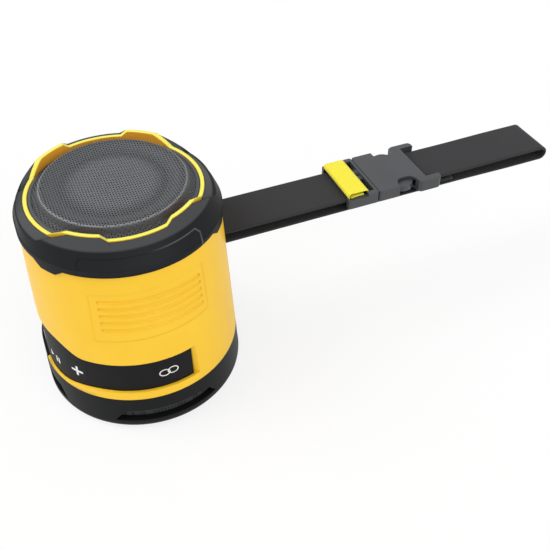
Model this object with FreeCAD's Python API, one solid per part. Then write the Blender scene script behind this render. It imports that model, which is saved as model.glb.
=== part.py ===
import FreeCAD, Part
import math
import os

# Jobsite bluetooth speaker with a buckled carry strap.
# Millimetres. Z is up, the speaker stands on Z = 0 and its round axis is the Z axis.
# The front face with the middle keys looks along -Y, the strap leaves the back along +Y.

V = FreeCAD.Vector
X_AXIS = V(1, 0, 0)
Z_AXIS = V(0, 0, 1)
ORIGIN = V(0, 0, 0)

# Body: an oval case that tapers upwards, two round sides joined by short flats at the front and the back
front_depth_at_floor = 46.2
front_taper = 0.04
back_depth_at_floor = 48.3
back_taper = 0.05
flat_half_at_floor = 4.75
flat_half_taper = 0.0185
base_height = 20.6
shoulder_height = 92.0
wall = 2.4
deck_thickness = 3.0
seam_gap = 0.1

# Crown: the ring wall round the grille, with raised towers and dips
crown_radius = 38.1
crown_wall = 1.7
crown_rise = 14.0
side_dip_drop = 2.4
end_dip_drop = 4.5
side_dip_front = 11.5
side_dip_back = 12.4
end_dip_half_width = 20.0
dip_ramp = 2.6
end_dip_ramp = 6.5
dip_zone_side = 24.0
dip_zone_end = 18.0

# Bumper over the crown
bumper_overhang = 0.9
bumper_lip_height = 1.6
bumper_lip_step = 0.4
bumper_lip_bevel = 0.3
bumper_edge_overhang = 3.1
bumper_edge_drop = 4.8
bumper_end_edge_drop = 7.4
bumper_end_edge_slope = 0.38
bumper_top_drop = 0.4
bumper_top_width = 0.4
bumper_fit = 0.05
bumper_seat = 0.02
bumper_ramp_setout = 2.5
lobe_angle = 37.5
lobe_low_half_width = 4.0
lobe_high_half_width = 8.0
lobe_drop = 2.6
lobe_overlap = 0.8
panel_half_length = 25.5
panel_rise = 2.2
panel_height = 4.4
panel_corner = 2.0
panel_depth = 0.25

# Grille: a pressed mesh dish
mesh_thickness = 0.8
mesh_fit = 0.2
mesh_rim_drop = 4.8
mesh_step_inset = 3.6
mesh_step_rise = 1.1
mesh_top_inset = 5.3
mesh_top_rise = 4.7
mesh_valley_inset = 13.7
mesh_valley_rise = 2.5
mesh_dome_inset = 18.7
mesh_dome_top_rise = 3.8
mesh_dome_bulge = 0.6
mesh_ring_wall = 2.0
mesh_shoulder_setout = 0.5
mesh_shoulder_drop = 0.6
mesh_crest_setback = 0.8
mesh_slope_bulge = 0.35

# Grip grooves on both sides
groove_count = 5
groove_pitch = 3.83
groove_lowest = 63.0
groove_radius = 0.85
groove_depth = 0.6
grip_angle = 89.8
groove_half_angle = 29.9
grip_pad_depth = 0.12
grip_pad_bottom = 56.5
grip_pad_height = 27.0
grip_pad_slant = 1.5
grip_pad_half_length = 25.0
grip_pad_lean = 1.0

# Keypad band round the front, in a pocket with a bevelled end
band_bottom = 25.3
band_top = 42.4
band_end = 14.0
band_end_bevel = 3.2
band_sweep_start = -30.0
band_sweep_low_rise = -34.5
band_sweep_high_rise = -38.0
band_sweep_end = -41.5
band_front = -56.0
band_front_rise = 5.2
band_drop_start = -23.0
band_drop_middle = -33.0
band_drop_end = -41.0
band_drop_share = 0.28
band_low_rise_share = 0.18
band_high_rise_share = 0.68
# How far the band's tools reach above its highest edge
band_margin = 3.3
band_recess = 1.2
band_thickness = 1.6
band_fit = 0.15
pocket_wall = 1.8
backing_margin = 2.0
backing_overlap = 0.2
bevel_overshoot = 0.3

# Keys in the band
key_width = 11.0
key_height = 11.0
key_corner = 2.0
key_fit = 0.06
key_cap_thickness = 0.8
key_stem_radius = 1.8
key_stem_length = 3.4
key_stem_fit = 0.4
key_hole_length = 12.0
key_travel = 0.6
key_angle_link = 93.0
key_angle_plus = 41.6
key_angle_play = 21.6
key_angle_minus = 1.6
key_angle_pairing = -18.4
key_angle_power = -41.6
key_height_link = 33.6
key_height_plus = 32.0
key_height_middle = 30.4
dome_radius = 2.6
dome_height = 0.5
dome_gap = 0.03
board_strip_thickness = 0.8
board_strip_half_height = 5.0
strip_end_margin = 7.0
strip_left_reach = 30.0
strip_left_front = -16.0
strip_post_radius = 1.5
strip_post_length = 10.0
strip_post_angles = (-60.0, -30.0, 11.6, 62.0, 80.0)
strip_boss_gap = 0.25
strip_post_rise = 1.0
strip_post_root = 0.5
side_post_angle = 40.0

# Base ring with sound slots
base_wall = 3.0
base_floor = 2.4
base_lift = 0.6
base_edge_radius = 4.3
slot_bottom = 6.6
slot_top = 13.0
slot_half_bottom = 24.2
slot_half_top = 19.6
base_mesh_gap = 0.2
base_mesh_thickness = 0.7
base_mesh_height = 14.0
foot_radius = 40.5
foot_thickness = 1.4
foot_edge = 0.5
foot_fit = 0.2

# Chassis plate with the passive radiator under it
chassis_thickness = 2.3
chassis_fit = 0.25
board_foot_offset = 17.0
board_foot_half_width = 3.0
board_foot_height = 6.0
board_foot_wall = 2.4
board_foot_fit = 0.1
passive_hole_radius = 29.0
passive_frame_outer = 34.0
passive_frame_thickness = 2.4
passive_plate_radius = 22.0
passive_plate_thickness = 1.6
passive_weight_radius = 10.0
passive_weight_thickness = 1.4
passive_plate_lip = 1.0
passive_frame_step = 0.2
passive_seat_setout = 2.2
passive_seat_setback = 1.0
passive_roll_setback = 0.6
passive_roll_rise = 2.4
passive_roll_lip = 2.6
roll_thickness = 0.6
roll_inner_lip = 0.8

# Screws that close the base
screw_circle = 40.0
screw_shank_radius = 1.5
screw_head_radius = 2.8
screw_head_height = 1.6
thread_clearance = 0.05
screw_boss_radius = 3.6
screw_boss_height = 6.0
screw_rib_reach = 7.0
screw_bite_share = 0.6
screw_socket_radius = 1.1
screw_seat_rise = 0.6
screw_clearance = 0.25

# Loudspeaker driver under the grille
driver_hole_radius = 30.2
gasket_thickness = 0.8
flange_outer = 33.4
flange_thickness = 2.0
flange_inner = 28.0
driver_screw_circle = 31.9
driver_screw_radius = 1.0
driver_screw_bite = 2.5
driver_head_radius = 1.35
driver_head_height = 1.2
gasket_hole_fit = 0.3
flange_hole_fit = 0.2
frame_sheet = 1.2
frame_bottom_radius = 18.5
frame_depth = 17.2
frame_window_height = 9.0
frame_window_width = 14.0
frame_neck = 1.4
frame_neck_length = 7.0
frame_neck_inside = 6.6
frame_floor_lip = 3.0
flange_rim_drop = 0.2
flange_rim_slope = 1.0
top_plate_radius = 20.0
top_plate_thickness = 3.5
magnet_outer = 22.0
magnet_inner = 13.0
magnet_thickness = 8.0
yoke_radius = 20.0
yoke_thickness = 3.3
pole_radius = 8.5
coil_gap = 0.4
coil_wall = 0.6
coil_length = 14.0
coil_rise = 3.0
cone_outer = 24.2
cone_sheet = 0.6
cone_bond = 0.02
cone_rise = 1.6
cone_foot_share = 1.6
cone_edge_top = 1.4
cone_edge_low = 1.0
surround_overlap = 0.2
surround_rise = 2.2
surround_lip = 1.6
dust_cap_rise = 3.6
dust_cap_sheet = 0.6
dust_cap_overhang = 3.2
dust_cap_lift = 5.7
spider_outer = 19.6
spider_sheet = 0.6
spider_depth = 12.4
spider_bond = 0.05
spider_ledge = 0.6
spider_waves = 3
spider_wave_rise = 0.5

# Battery and boards
cell_radius = 9.1
cell_length = 65.0
cell_spacing = 20.0
cell_axis_height = 38.0
cell_cap_radius = 3.0
cell_cap_height = 1.0
cell_cap_overlap = 0.1
cell_bed_fit = 0.15
cell_end_gap = 0.9
cell_bed_margin = 2.0
holder_wall = 1.8
holder_depth = 12.0
holder_snap = 4.0
holder_leg = 6.0
holder_end_gap = 1.0
holder_leg_setback = 1.0
holder_leg_overlap = 0.5
board_thickness = 1.6
board_setback = 10.0
board_half_width = 22.0
board_top = 50.0
board_part_overlap = 0.2
chip_top_drop = 3.0
chip_height = 7.0
chip_left = -12.0
chip_right = -2.0
chip_thickness = 1.4
inductor_left = 6.0
inductor_right = 13.0
inductor_thickness = 3.4
can_radius = 2.6
can_length = 6.0
can_x = 10.0
can_drop = 20.5
socket_width = 9.0
socket_height = 3.2
socket_rise = 8.5
socket_depth = 7.0
socket_wall = 0.35
socket_fit = 0.2
socket_corner = 1.3
socket_back = 1.2
socket_tongue_half_width = 3.3
socket_tongue_half_height = 0.35
socket_tongue_start = 0.6
socket_tongue_setback = 0.8

# Charging port recess and its rubber cover at the back
port_half_width = 12.3
port_bottom = 27.0
port_height = 15.4
port_depth = 2.4
port_block = 6.0
port_wall_margin = 2.0
port_corner = 2.0
port_lug_start = 10.0
port_lug_height = 4.0
cover_fit = 0.3
cover_sink = 0.1
cover_hinge_rise = 2.7
cover_hinge_setout = 1.6
cover_lug_fit = 0.5
cover_pin_radius = 0.5
cover_pin_fit = 0.05
cover_pin_end = 11.4
cover_knuckle_radius = 0.9
cover_plug_half_width = 5.2
cover_plug_height = 4.0
cover_plug_depth = 1.1
cover_plug_fit = 0.6
cover_lift_radius = 1.3
cover_lift_length = 8.0
cover_overlap = 4.0

# Strap bar in its recess at the back
webbing_width = 25.0
webbing_thickness = 1.4
bar_radius = 1.8
bar_setback = 4.5
bar_centre_z = 68.4
bar_fit = 0.08
recess_half_width = 14.4
recess_below_bar = 13.4
recess_above_bar = 13.6
recess_depth_behind_bar = 5.2
recess_wall = 2.2
bar_hold = 2.0

# Strap loop, and where the buckle's two halves stand along it
strap_far_end = 216.4
webbing_bond = 0.05
buckle_start = 106.0
male_length = 16.4
female_length = 34.6
buckle_half_width = 15.6
buckle_height = 6.4
buckle_gap = 0.2
buckle_bar_thickness = 1.4
rail_inner = 12.9
rail_drop = 1.15
male_corner = 1.2
female_corner = 1.6
buckle_edge = 0.5

# Adjuster end of the buckle, with the webbing's folded end and its ribbon tab
adjuster_setback = 5.5
adjuster_width = 3.7
adjuster_fit = 0.27
adjuster_edge = 0.5
slot_rib_half_width = 1.5
slot_rib_fit = 0.3
fold_back_setback = 2.4
tab_setback = 1.6
tab_thickness = 0.55
tab_half_width = 13.8
tab_fit = 0.05
tab_edge = 0.5

# Latch: the bridge, the tongue and the two arms, measured from the seam between the halves
bridge_back = 1.8
bridge_length = 3.1
bridge_side_fit = 0.4
bridge_overlap = 0.1
tongue_half_width = 2.4
tongue_reach = 18.6
arm_inner = 6.4
arm_outer = 9.2
arm_bulge = 14.7
arm_shoulder_reach = 11.7
arm_tip_reach = 21.2
arm_root_gap = 0.4
arm_root_depth = 3.0
arm_rise = 1.75
arm_height = 2.9
arm_fit = 0.25
arm_neck_reach = 3.0
arm_flare = 0.6
button_root_setback = 1.4
button_forward = 0.6
arm_tip_setout = 2.6
hook_setback = 0.3
hook_length = 4.0
hook_bend_setout = 0.1
hook_bend_length = 1.6

# Receiving half of the buckle, with the bar that the webbing is sewn round
notch_start_reach = 11.3
notch_end_reach = 21.9
notch_inner = 9.4
notch_corner = 4.2
ear_half_width = 16.4
ear_corner = 2.2
cavity_half_width = 12.7
cavity_reach = 23.1
end_bar_width = 4.6
end_bar_setback = 1.6
end_bar_fit = 0.13
end_bar_margin = 0.75
end_slot_width = 3.0
end_fold_length = 14.0

# Heights and places that follow from the values above
round_radius_at_floor = (front_depth_at_floor + back_depth_at_floor) / 2
far_out = 2 * (round_radius_at_floor + flat_half_at_floor)
crown_height = shoulder_height + crown_rise
far_up = 2 * crown_height
side_dip_height = crown_height - side_dip_drop
end_dip_height = crown_height - end_dip_drop
bumper_edge_radius = crown_radius + bumper_edge_overhang
bumper_edge_height = crown_height - bumper_edge_drop
bumper_end_edge_height = crown_height - bumper_end_edge_drop
panel_bottom = shoulder_height + panel_rise
panel_top = panel_bottom + panel_height
mesh_edge_radius = crown_radius - crown_wall - mesh_fit
mesh_rim_height = crown_height - mesh_rim_drop
grip_pad_top = grip_pad_bottom + grip_pad_height
band_low = base_height - seam_gap
band_front_top = band_top + band_front_rise
band_high = band_front_top + band_margin
frame_bottom = shoulder_height - frame_depth
spider_height = shoulder_height - spider_depth
holder_bottom = cell_axis_height - holder_depth
port_top = port_bottom + port_height
port_lug_top = port_bottom + port_lug_height
port_floor = back_depth_at_floor - back_taper * port_top - port_depth
socket_centre = port_bottom + socket_rise
board_face = port_floor - board_setback
cover_hinge_height = port_bottom + cover_hinge_rise
cover_hinge_y = port_floor + cover_hinge_setout
bar_centre_y = back_depth_at_floor - back_taper * bar_centre_z - bar_setback
recess_bottom = bar_centre_z - recess_below_bar
recess_top = bar_centre_z + recess_above_bar
strap_inner = bar_radius + bar_fit
layer_top = bar_centre_z + strap_inner + webbing_thickness
buckle_seam = buckle_start + male_length
buckle_end = buckle_seam + female_length
adjuster_bar_start = buckle_start + adjuster_setback
adjuster_bar_end = adjuster_bar_start + adjuster_width
adjuster_bar_bottom = layer_top + adjuster_fit
adjuster_bar_top = adjuster_bar_bottom + buckle_bar_thickness
end_bar_top = bar_centre_z + strap_inner - end_bar_fit
end_bar_bottom = end_bar_top - buckle_bar_thickness
end_bar_start = buckle_end - end_bar_width
end_slot_start = end_bar_start - end_slot_width
buckle_bottom = end_bar_bottom - end_bar_margin
buckle_top = buckle_bottom + buckle_height
fold_back_end = buckle_start + fold_back_setback
tab_start = buckle_start + tab_setback
male_bridge_start = buckle_seam - bridge_back
male_bridge_end = buckle_seam + bridge_length
tongue_end = buckle_seam + tongue_reach
arm_shoulder = buckle_seam + arm_shoulder_reach
arm_tip = buckle_seam + arm_tip_reach
arm_bottom = buckle_bottom + arm_rise
arm_top = arm_bottom + arm_height
notch_start = buckle_seam + notch_start_reach
notch_end = buckle_seam + notch_end_reach
cavity_end = buckle_seam + cavity_reach


def front_depth(z):
    """Distance of the case's front from the upright axis at a height."""
    return front_depth_at_floor - front_taper * z


def back_depth(z):
    """Distance of the case's back from the upright axis at a height."""
    return back_depth_at_floor - back_taper * z


def round_radius(z, inset=0.0):
    """Radius of the case's round sides at a height, moved inwards by inset."""
    return (front_depth(z) + back_depth(z)) / 2 - inset


def round_centre(z, side=1):
    """Centre of the round side at a height, on the +X side or the -X side."""
    return V(side * (flat_half_at_floor - flat_half_taper * z), (back_depth(z) - front_depth(z)) / 2, z)


def side_distance(y, z):
    """Distance along X from the middle plane to the case's round side."""
    centre = round_centre(z)
    return centre.x + math.sqrt(round_radius(z) ** 2 - (y - centre.y) ** 2)


def surface_distance(angle, z):
    """Distance from the axis to the case's surface along a level line at an angle from the front."""
    centre = round_centre(z)
    ray = radial(abs(angle))
    along = centre.x * ray.x + centre.y * ray.y
    reach = along + math.sqrt(round_radius(z) ** 2 - centre.x ** 2 - centre.y ** 2 + along ** 2)
    if reach * ray.x > centre.x:
        return reach
    depth = front_depth(z) if ray.y < 0 else back_depth(z)
    return depth / abs(ray.y)


def radial(angle):
    """Level unit vector at an angle from the front, turning towards +X."""
    return V(math.sin(math.radians(angle)), -math.cos(math.radians(angle)), 0)


def box(x0, x1, y0, y1, z0, z1):
    return Part.makeBox(x1 - x0, y1 - y0, z1 - z0, V(x0, y0, z0))


def tube(outer, inner, z0, z1):
    body = Part.makeCylinder(outer, z1 - z0, V(0, 0, z0))
    return body.cut(Part.makeCylinder(inner, z1 - z0 + 2, V(0, 0, z0 - 1)))


def disc(radius, z0, z1):
    return Part.makeCylinder(radius, z1 - z0, V(0, 0, z0))


def face_of(points):
    """Flat face inside straight lines through the points."""
    return Part.Face(Part.makePolygon(points + [points[0]]))


def revolve(pairs):
    """Solid of revolution about Z of a closed outline of (radius, height) pairs."""
    outline = face_of([V(r, 0, z) for r, z in pairs])
    return outline.revolve(ORIGIN, Z_AXIS, 360)


def prism_along_x(pairs):
    """Long bar along X, both ways, with an outline of (y, z) pairs."""
    return face_of([V(-far_out, y, z) for y, z in pairs]).extrude(V(2 * far_out, 0, 0))


def prism_along_y(pairs, end=far_out):
    """Long bar along Y, from far in front to an end, with an outline of (x, z) pairs."""
    return face_of([V(x, -far_out, z) for x, z in pairs]).extrude(V(0, far_out + end, 0))


def oval_wire(centre, radius):
    """Level outline of two half circles about mirrored centres, joined by two flats."""
    right_front = V(centre.x, centre.y - radius, centre.z)
    right_back = V(centre.x, centre.y + radius, centre.z)
    left_front = V(-centre.x, centre.y - radius, centre.z)
    left_back = V(-centre.x, centre.y + radius, centre.z)
    right = Part.Arc(right_front, V(centre.x + radius, centre.y, centre.z), right_back)
    left = Part.Arc(left_back, V(-centre.x - radius, centre.y, centre.z), left_front)
    return Part.Wire([
        right.toShape(), Part.makeLine(right_back, left_back),
        left.toShape(), Part.makeLine(left_front, right_front)])


def case_wire(inset, z):
    return oval_wire(round_centre(z), round_radius(z, inset))


def case_form(inset, z0, z1):
    """The case's outer form between two heights, moved inwards by inset."""
    return Part.makeLoft([case_wire(inset, z0), case_wire(inset, z1)], True, True)


def case_shell(outer_inset, inner_inset, z0, z1):
    """Wall of the case between two insets."""
    return case_form(outer_inset, z0, z1).cut(case_form(inner_inset, z0 - 1, z1 + 1))


def band_outline(grow):
    """Side view of the keypad band, grown outwards by a margin: towards the front its upper edge sweeps up
    and its lower edge drops to the base."""
    bottom = band_bottom - grow
    top = band_top + grow
    start = V(0, band_end + grow, bottom)
    low_bend = V(0, band_drop_start, bottom)
    low_end = V(0, band_drop_end, base_height - grow)
    low_front = V(0, band_front, base_height - grow)
    high_front = V(0, band_front, top + band_front_rise)
    high_end = V(0, band_sweep_end, top + band_front_rise)
    high_bend = V(0, band_sweep_start, top)
    end = V(0, band_end + grow, top)
    drop = Part.BSplineCurve()
    drop.interpolate([
        low_bend, V(0, band_drop_middle, bottom - band_drop_share * (band_bottom - base_height)), low_end])
    sweep = Part.BSplineCurve()
    sweep.interpolate([
        high_bend, V(0, band_sweep_low_rise, top + band_low_rise_share * band_front_rise),
        V(0, band_sweep_high_rise, top + band_high_rise_share * band_front_rise), high_end])
    edges = [
        Part.makeLine(start, low_bend), drop.toShape(), Part.makeLine(low_end, low_front),
        Part.makeLine(low_front, high_front), Part.makeLine(high_front, high_end), sweep.toShape(),
        Part.makeLine(high_bend, end), Part.makeLine(end, start)]
    return Part.Face(Part.Wire(Part.__sortEdges__(edges)))


def band_prism(grow):
    face = band_outline(grow)
    face.translate(V(-far_out, 0, 0))
    return face.extrude(V(2 * far_out, 0, 0))


def key_list():
    """Name, angle and height of each key."""
    return (
        ("key_link", key_angle_link, key_height_link),
        ("key_plus", key_angle_plus, key_height_plus),
        ("key_play", key_angle_play, key_height_middle),
        ("key_minus", key_angle_minus, key_height_middle),
        ("key_pairing", key_angle_pairing, key_height_middle),
        ("key_power", key_angle_power, key_height_plus))


def radial_block(angle, z, width, height, corner):
    """Bar with rounded edges that runs outwards from near the axis, level, at an angle."""
    length = far_out - width
    bar = Part.makeBox(width, length, height, V(-width / 2, -far_out, -height / 2))
    long_edges = [e for e in bar.Edges if e.BoundBox.YLength > length / 2]
    bar = bar.makeFillet(corner, long_edges)
    bar.rotate(ORIGIN, Z_AXIS, angle)
    bar.translate(V(0, 0, z))
    return bar


def radial_pin(angle, z, radius, from_distance, to_distance):
    start = radial(angle) * from_distance + V(0, 0, z)
    return Part.makeCylinder(radius, to_distance - from_distance, start, radial(angle))


def crown_dips(drop):
    """Tools that lower the crown at the two sides and at the front and back."""
    high = crown_height + 5
    side_low = side_dip_height - drop
    rise = (high - side_low) / (crown_height - side_dip_height)
    sides = prism_along_x([
        (-side_dip_front, side_low), (side_dip_back, side_low),
        (side_dip_back + dip_ramp * rise, high), (-side_dip_front - dip_ramp * rise, high)])
    end_low = end_dip_height - drop
    end_rise = (high - end_low) / (crown_height - end_dip_height)
    reach = end_dip_half_width + end_dip_ramp * end_rise
    ends = prism_along_y([
        (-end_dip_half_width, end_low), (end_dip_half_width, end_low), (reach, high), (-reach, high)])
    return sides.common(side_zone()), ends.common(end_zone())


def side_zone():
    left = box(-far_out, -dip_zone_side, -far_out, far_out, 0, far_up)
    return left.fuse(box(dip_zone_side, far_out, -far_out, far_out, 0, far_up))


def end_zone():
    front = box(-far_out, far_out, -far_out, -dip_zone_end, 0, far_up)
    return front.fuse(box(-far_out, far_out, dip_zone_end, far_out, 0, far_up))


def strap_recess(grow):
    """Space behind the case's back in which the strap turns round its bar."""
    floor = bar_centre_y - recess_depth_behind_bar - grow
    half = recess_half_width + grow
    return box(-half, half, floor, far_out, recess_bottom - grow, recess_top + grow)


def port_recess():
    """Charging port pocket in the case's back, less the two lugs that hold the cover's pin."""
    half = port_half_width
    pocket = box(-half, half, port_floor, far_out, port_bottom, port_top)
    long_edges = [e for e in pocket.Edges if e.BoundBox.YLength > far_out - port_floor - 1]
    pocket = pocket.makeFillet(port_corner, long_edges)
    for side in (1, -1):
        x0 = side * port_lug_start
        x1 = side * (half + 1)
        pocket = pocket.cut(box(min(x0, x1), max(x0, x1), 0, far_out, port_bottom - 1, port_lug_top))
    return pocket


def port_backing():
    """Thicker wall round the port pocket."""
    half = port_half_width + port_wall_margin
    block = box(-half, half, 0, far_out, port_bottom - port_wall_margin, port_top + port_wall_margin)
    return block.cut(case_form(port_block, base_height - 5, shoulder_height))


def grip_grooves():
    """Five level grooves on each side, cut as thin rings about the side's own centre."""
    rings = []
    for index in range(groove_count):
        z = groove_lowest + index * groove_pitch
        reach = round_radius(z, groove_depth + grip_pad_depth) + groove_radius
        for side in (1, -1):
            axis = round_centre(z, side)
            start = radial(grip_angle * side - groove_half_angle)
            circle = Part.makeCircle(groove_radius, axis + start * reach, Z_AXIS.cross(start))
            rings.append(Part.Face(Part.Wire(circle)).revolve(axis, Z_AXIS, 2 * groove_half_angle))
    return rings


def grip_pads():
    """Shallow recessed pad under the grooves on each side."""
    outline = prism_along_x([
        (-grip_pad_half_length, grip_pad_bottom), (grip_pad_half_length, grip_pad_bottom + grip_pad_slant),
        (grip_pad_half_length - grip_pad_lean, grip_pad_top),
        (-grip_pad_half_length + grip_pad_lean, grip_pad_top - grip_pad_slant)])
    skin = case_shell(-1.0, grip_pad_depth, grip_pad_bottom - 2, grip_pad_top + 2)
    return skin.common(outline)


def pocket_end_bevel(side):
    """Slanted wall at the pocket's end, from its floor out to the case's surface."""
    depth = band_recess + band_thickness
    y0 = band_end
    x0 = side_distance(y0, band_bottom) - depth
    y1 = band_end + band_end_bevel
    x1 = side_distance(y1, band_bottom) + bevel_overshoot
    corners = [V(side * x0, y0, band_bottom), V(side * x1, y1, band_bottom),
               V(side * (x1 + 8), y1, band_bottom), V(side * (x0 + 12), y0 - 3, band_bottom),
               V(side * x0, y0 - 3, band_bottom)]
    return face_of(corners).extrude(V(0, 0, band_top - band_bottom))


def screw_angles():
    return [45 + 90 * index for index in range(4)]


def make_housing():
    top = shoulder_height
    shell = case_form(0, base_height, top).cut(case_form(wall, base_height - 1, top - deck_thickness))
    shell = shell.fuse(disc(crown_radius, top - 1, crown_height))
    shell = shell.cut(disc(crown_radius - crown_wall, top, crown_height + 1))
    shell = shell.cut(disc(driver_hole_radius, top - 10, top + 1))
    above_chassis = base_height + chassis_thickness + seam_gap
    pocket_back = band_recess + band_thickness + pocket_wall
    backing = case_shell(wall - backing_overlap, pocket_back, above_chassis, band_high)
    shell = shell.fuse(backing.common(band_prism(backing_margin)))
    strap_block = strap_recess(recess_wall).common(case_form(0, base_height, top - 1))
    port_wall = port_backing().common(case_form(0, base_height, top))
    shell = shell.fuse([strap_block, port_wall])
    shell = shell.fuse(strip_posts())
    shell = shell.fuse(screw_bosses(base_height + chassis_thickness, screw_boss_height))
    cuts = [band_prism(band_fit).common(case_shell(-3, band_recess + band_thickness, band_low, band_high))]
    cuts += [pocket_end_bevel(1), pocket_end_bevel(-1)]
    cuts += [strap_recess(0), port_recess(), port_well(), port_hole(), cover_pin(cover_pin_fit)]
    cuts += list(crown_dips(0))
    cuts += [grip_pads()] + grip_grooves()
    for name, angle, z in key_list():
        reach = surface_distance(angle, z)
        cuts.append(radial_pin(angle, z, key_stem_radius + key_stem_fit, reach - key_hole_length, reach))
    for angle in screw_angles():
        radius = screw_shank_radius + thread_clearance
        cuts.append(screw_hole(angle, radius, base_height - 1, screw_tip() + 1))
    cuts.append(strap_bar_solid(bar_fit / 3))
    for tool in cuts:
        shell = shell.cut(tool)
    return cut_driver_holes(shell, top - deck_thickness + 0.3, top + 1, thread_clearance)


def strip_posts():
    """Short pegs inside the case that carry the key board strip."""
    posts = []
    for angle in strip_post_angles:
        z = key_height_middle if abs(angle) < side_post_angle else key_height_link + strip_post_rise
        outer = surface_distance(angle, z) - band_recess - band_thickness - strip_post_root
        posts.append(radial_pin(angle, z, strip_post_radius, outer - strip_post_length, outer))
    inside = case_form(strip_inset(), base_height, shoulder_height)
    return [post.cut(inside) for post in posts]


def screw_bosses(start, height):
    bosses = []
    for angle in screw_angles():
        centre = radial(angle) * screw_circle + V(0, 0, start)
        post = Part.makeCylinder(screw_boss_radius, height, centre)
        rib = Part.makeBox(
            2 * screw_boss_radius, screw_rib_reach, height,
            V(-screw_boss_radius, -screw_circle - screw_rib_reach, start))
        rib.rotate(ORIGIN, Z_AXIS, angle)
        bosses.append(post.fuse(rib).common(case_form(wall / 2, base_height, shoulder_height)))
    return bosses


def screw_tip():
    return base_height + chassis_thickness + screw_boss_height * screw_bite_share


def screw_hole(angle, radius, z0, z1):
    """Upright cylinder at one of the four base screws."""
    return Part.makeCylinder(radius, z1 - z0, radial(angle) * screw_circle + V(0, 0, z0))


def port_well():
    """Shallow well round the charging socket that takes the cover's plug."""
    y = port_floor
    half = cover_plug_half_width + cover_plug_fit
    low = socket_centre - cover_plug_height / 2 - cover_plug_fit
    high = socket_centre + cover_plug_height / 2 + cover_plug_fit
    return box(-half, half, y - cover_plug_depth - cover_plug_fit, y + 2, low, high)


def port_hole():
    half = socket_width / 2 + socket_fit
    low = socket_centre - socket_height / 2 - socket_fit
    return box(-half, half, 0, far_out, low, low + socket_height + 2 * socket_fit)


def bumper_form(inset):
    """Outside of the bumper as level outlines from the oval lip to the round top, moved inwards by inset.
    The round outlines keep a tiny flat, so that every outline of the loft has the same four edges."""
    low = shoulder_height
    step = low + bumper_lip_height
    bevel = step + bumper_lip_bevel
    edge = V(bumper_seat, 0, bumper_edge_height)
    top = V(bumper_seat, 0, crown_height - bumper_top_drop)
    top_radius = crown_radius + bumper_fit + bumper_top_width
    return Part.makeLoft([
        case_wire(inset - bumper_overhang, low), case_wire(inset - bumper_overhang, step),
        case_wire(inset - bumper_overhang + bumper_lip_step, bevel),
        oval_wire(edge, bumper_edge_radius - inset), oval_wire(top, top_radius - inset)], True, True)


def bumper_panel():
    """Shallow panel with clipped upper corners in the bumper's slope on each side."""
    outline = prism_along_x([
        (-panel_half_length, panel_bottom), (panel_half_length, panel_bottom),
        (panel_half_length, panel_top - panel_corner), (panel_half_length - panel_corner, panel_top),
        (-panel_half_length + panel_corner, panel_top), (-panel_half_length, panel_top - panel_corner)])
    return bumper_form(-1.0).cut(bumper_form(panel_depth)).common(outline)


def bumper_end_bevel():
    """What comes off above the bumper's front and back, down a slope from the crown's dips."""
    inner = crown_radius + bumper_fit + bumper_top_width
    low = end_dip_height - bumper_top_drop
    drop = bumper_end_edge_slope * (far_out - bumper_edge_radius)
    return revolve([
        (0, low), (inner, low), (bumper_edge_radius, bumper_end_edge_height),
        (far_out, bumper_end_edge_height - drop), (far_out, far_up), (0, far_up)])


def make_bumper():
    ring = bumper_form(0).cut(disc(crown_radius + bumper_fit, shoulder_height - 1, far_up))
    side_dips = crown_dips(bumper_top_drop)[0]
    ring = ring.cut(side_dips).cut(end_wedge().common(bumper_end_bevel())).cut(bumper_panel())
    for lobe in bumper_lobes():
        ring = ring.fuse(lobe)
    return ring.removeSplitter()


def end_wedge():
    """Wide form over the front and back dips, with the same ramps as the crown."""
    low = bumper_end_edge_height - 4
    slope = end_dip_ramp / (crown_height - end_dip_height)
    high = crown_height + 5
    half_low = end_dip_half_width + slope * (low - end_dip_height) + bumper_ramp_setout
    half_high = end_dip_half_width + slope * (high - end_dip_height) + bumper_ramp_setout
    wedge = prism_along_y([(-half_low, low), (half_low, low), (half_high, high), (-half_high, high)])
    return wedge.common(end_zone())


def bumper_lobes():
    """Four ears of the bumper with slanted sides that reach down over the case's corners."""
    low = shoulder_height - lobe_drop
    high = shoulder_height + lobe_overlap
    skirt = case_form(-bumper_overhang, low, high).cut(case_form(-bumper_seat, low - 1, high + 1))
    outline = [
        (-lobe_low_half_width, low), (lobe_low_half_width, low), (lobe_high_half_width, shoulder_height),
        (lobe_high_half_width, high), (-lobe_high_half_width, high), (-lobe_high_half_width, shoulder_height)]
    lobes = []
    for angle in (lobe_angle, -lobe_angle, 180 - lobe_angle, lobe_angle - 180):
        sector = prism_along_y(outline, 0)
        sector.rotate(ORIGIN, Z_AXIS, angle)
        lobes.append(skirt.common(sector))
    return lobes


def dome_arc(radius, edge_height, rise):
    """Arc from a dome's edge to its top on the axis, level at the top."""
    sphere = (radius * radius + rise * rise) / (2 * rise)
    half = radius / 2
    drop = sphere - math.sqrt(sphere * sphere - half * half)
    top = edge_height + rise
    return Part.Arc(V(radius, 0, edge_height), V(half, 0, top - drop), V(0, 0, top)).toShape()


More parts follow.
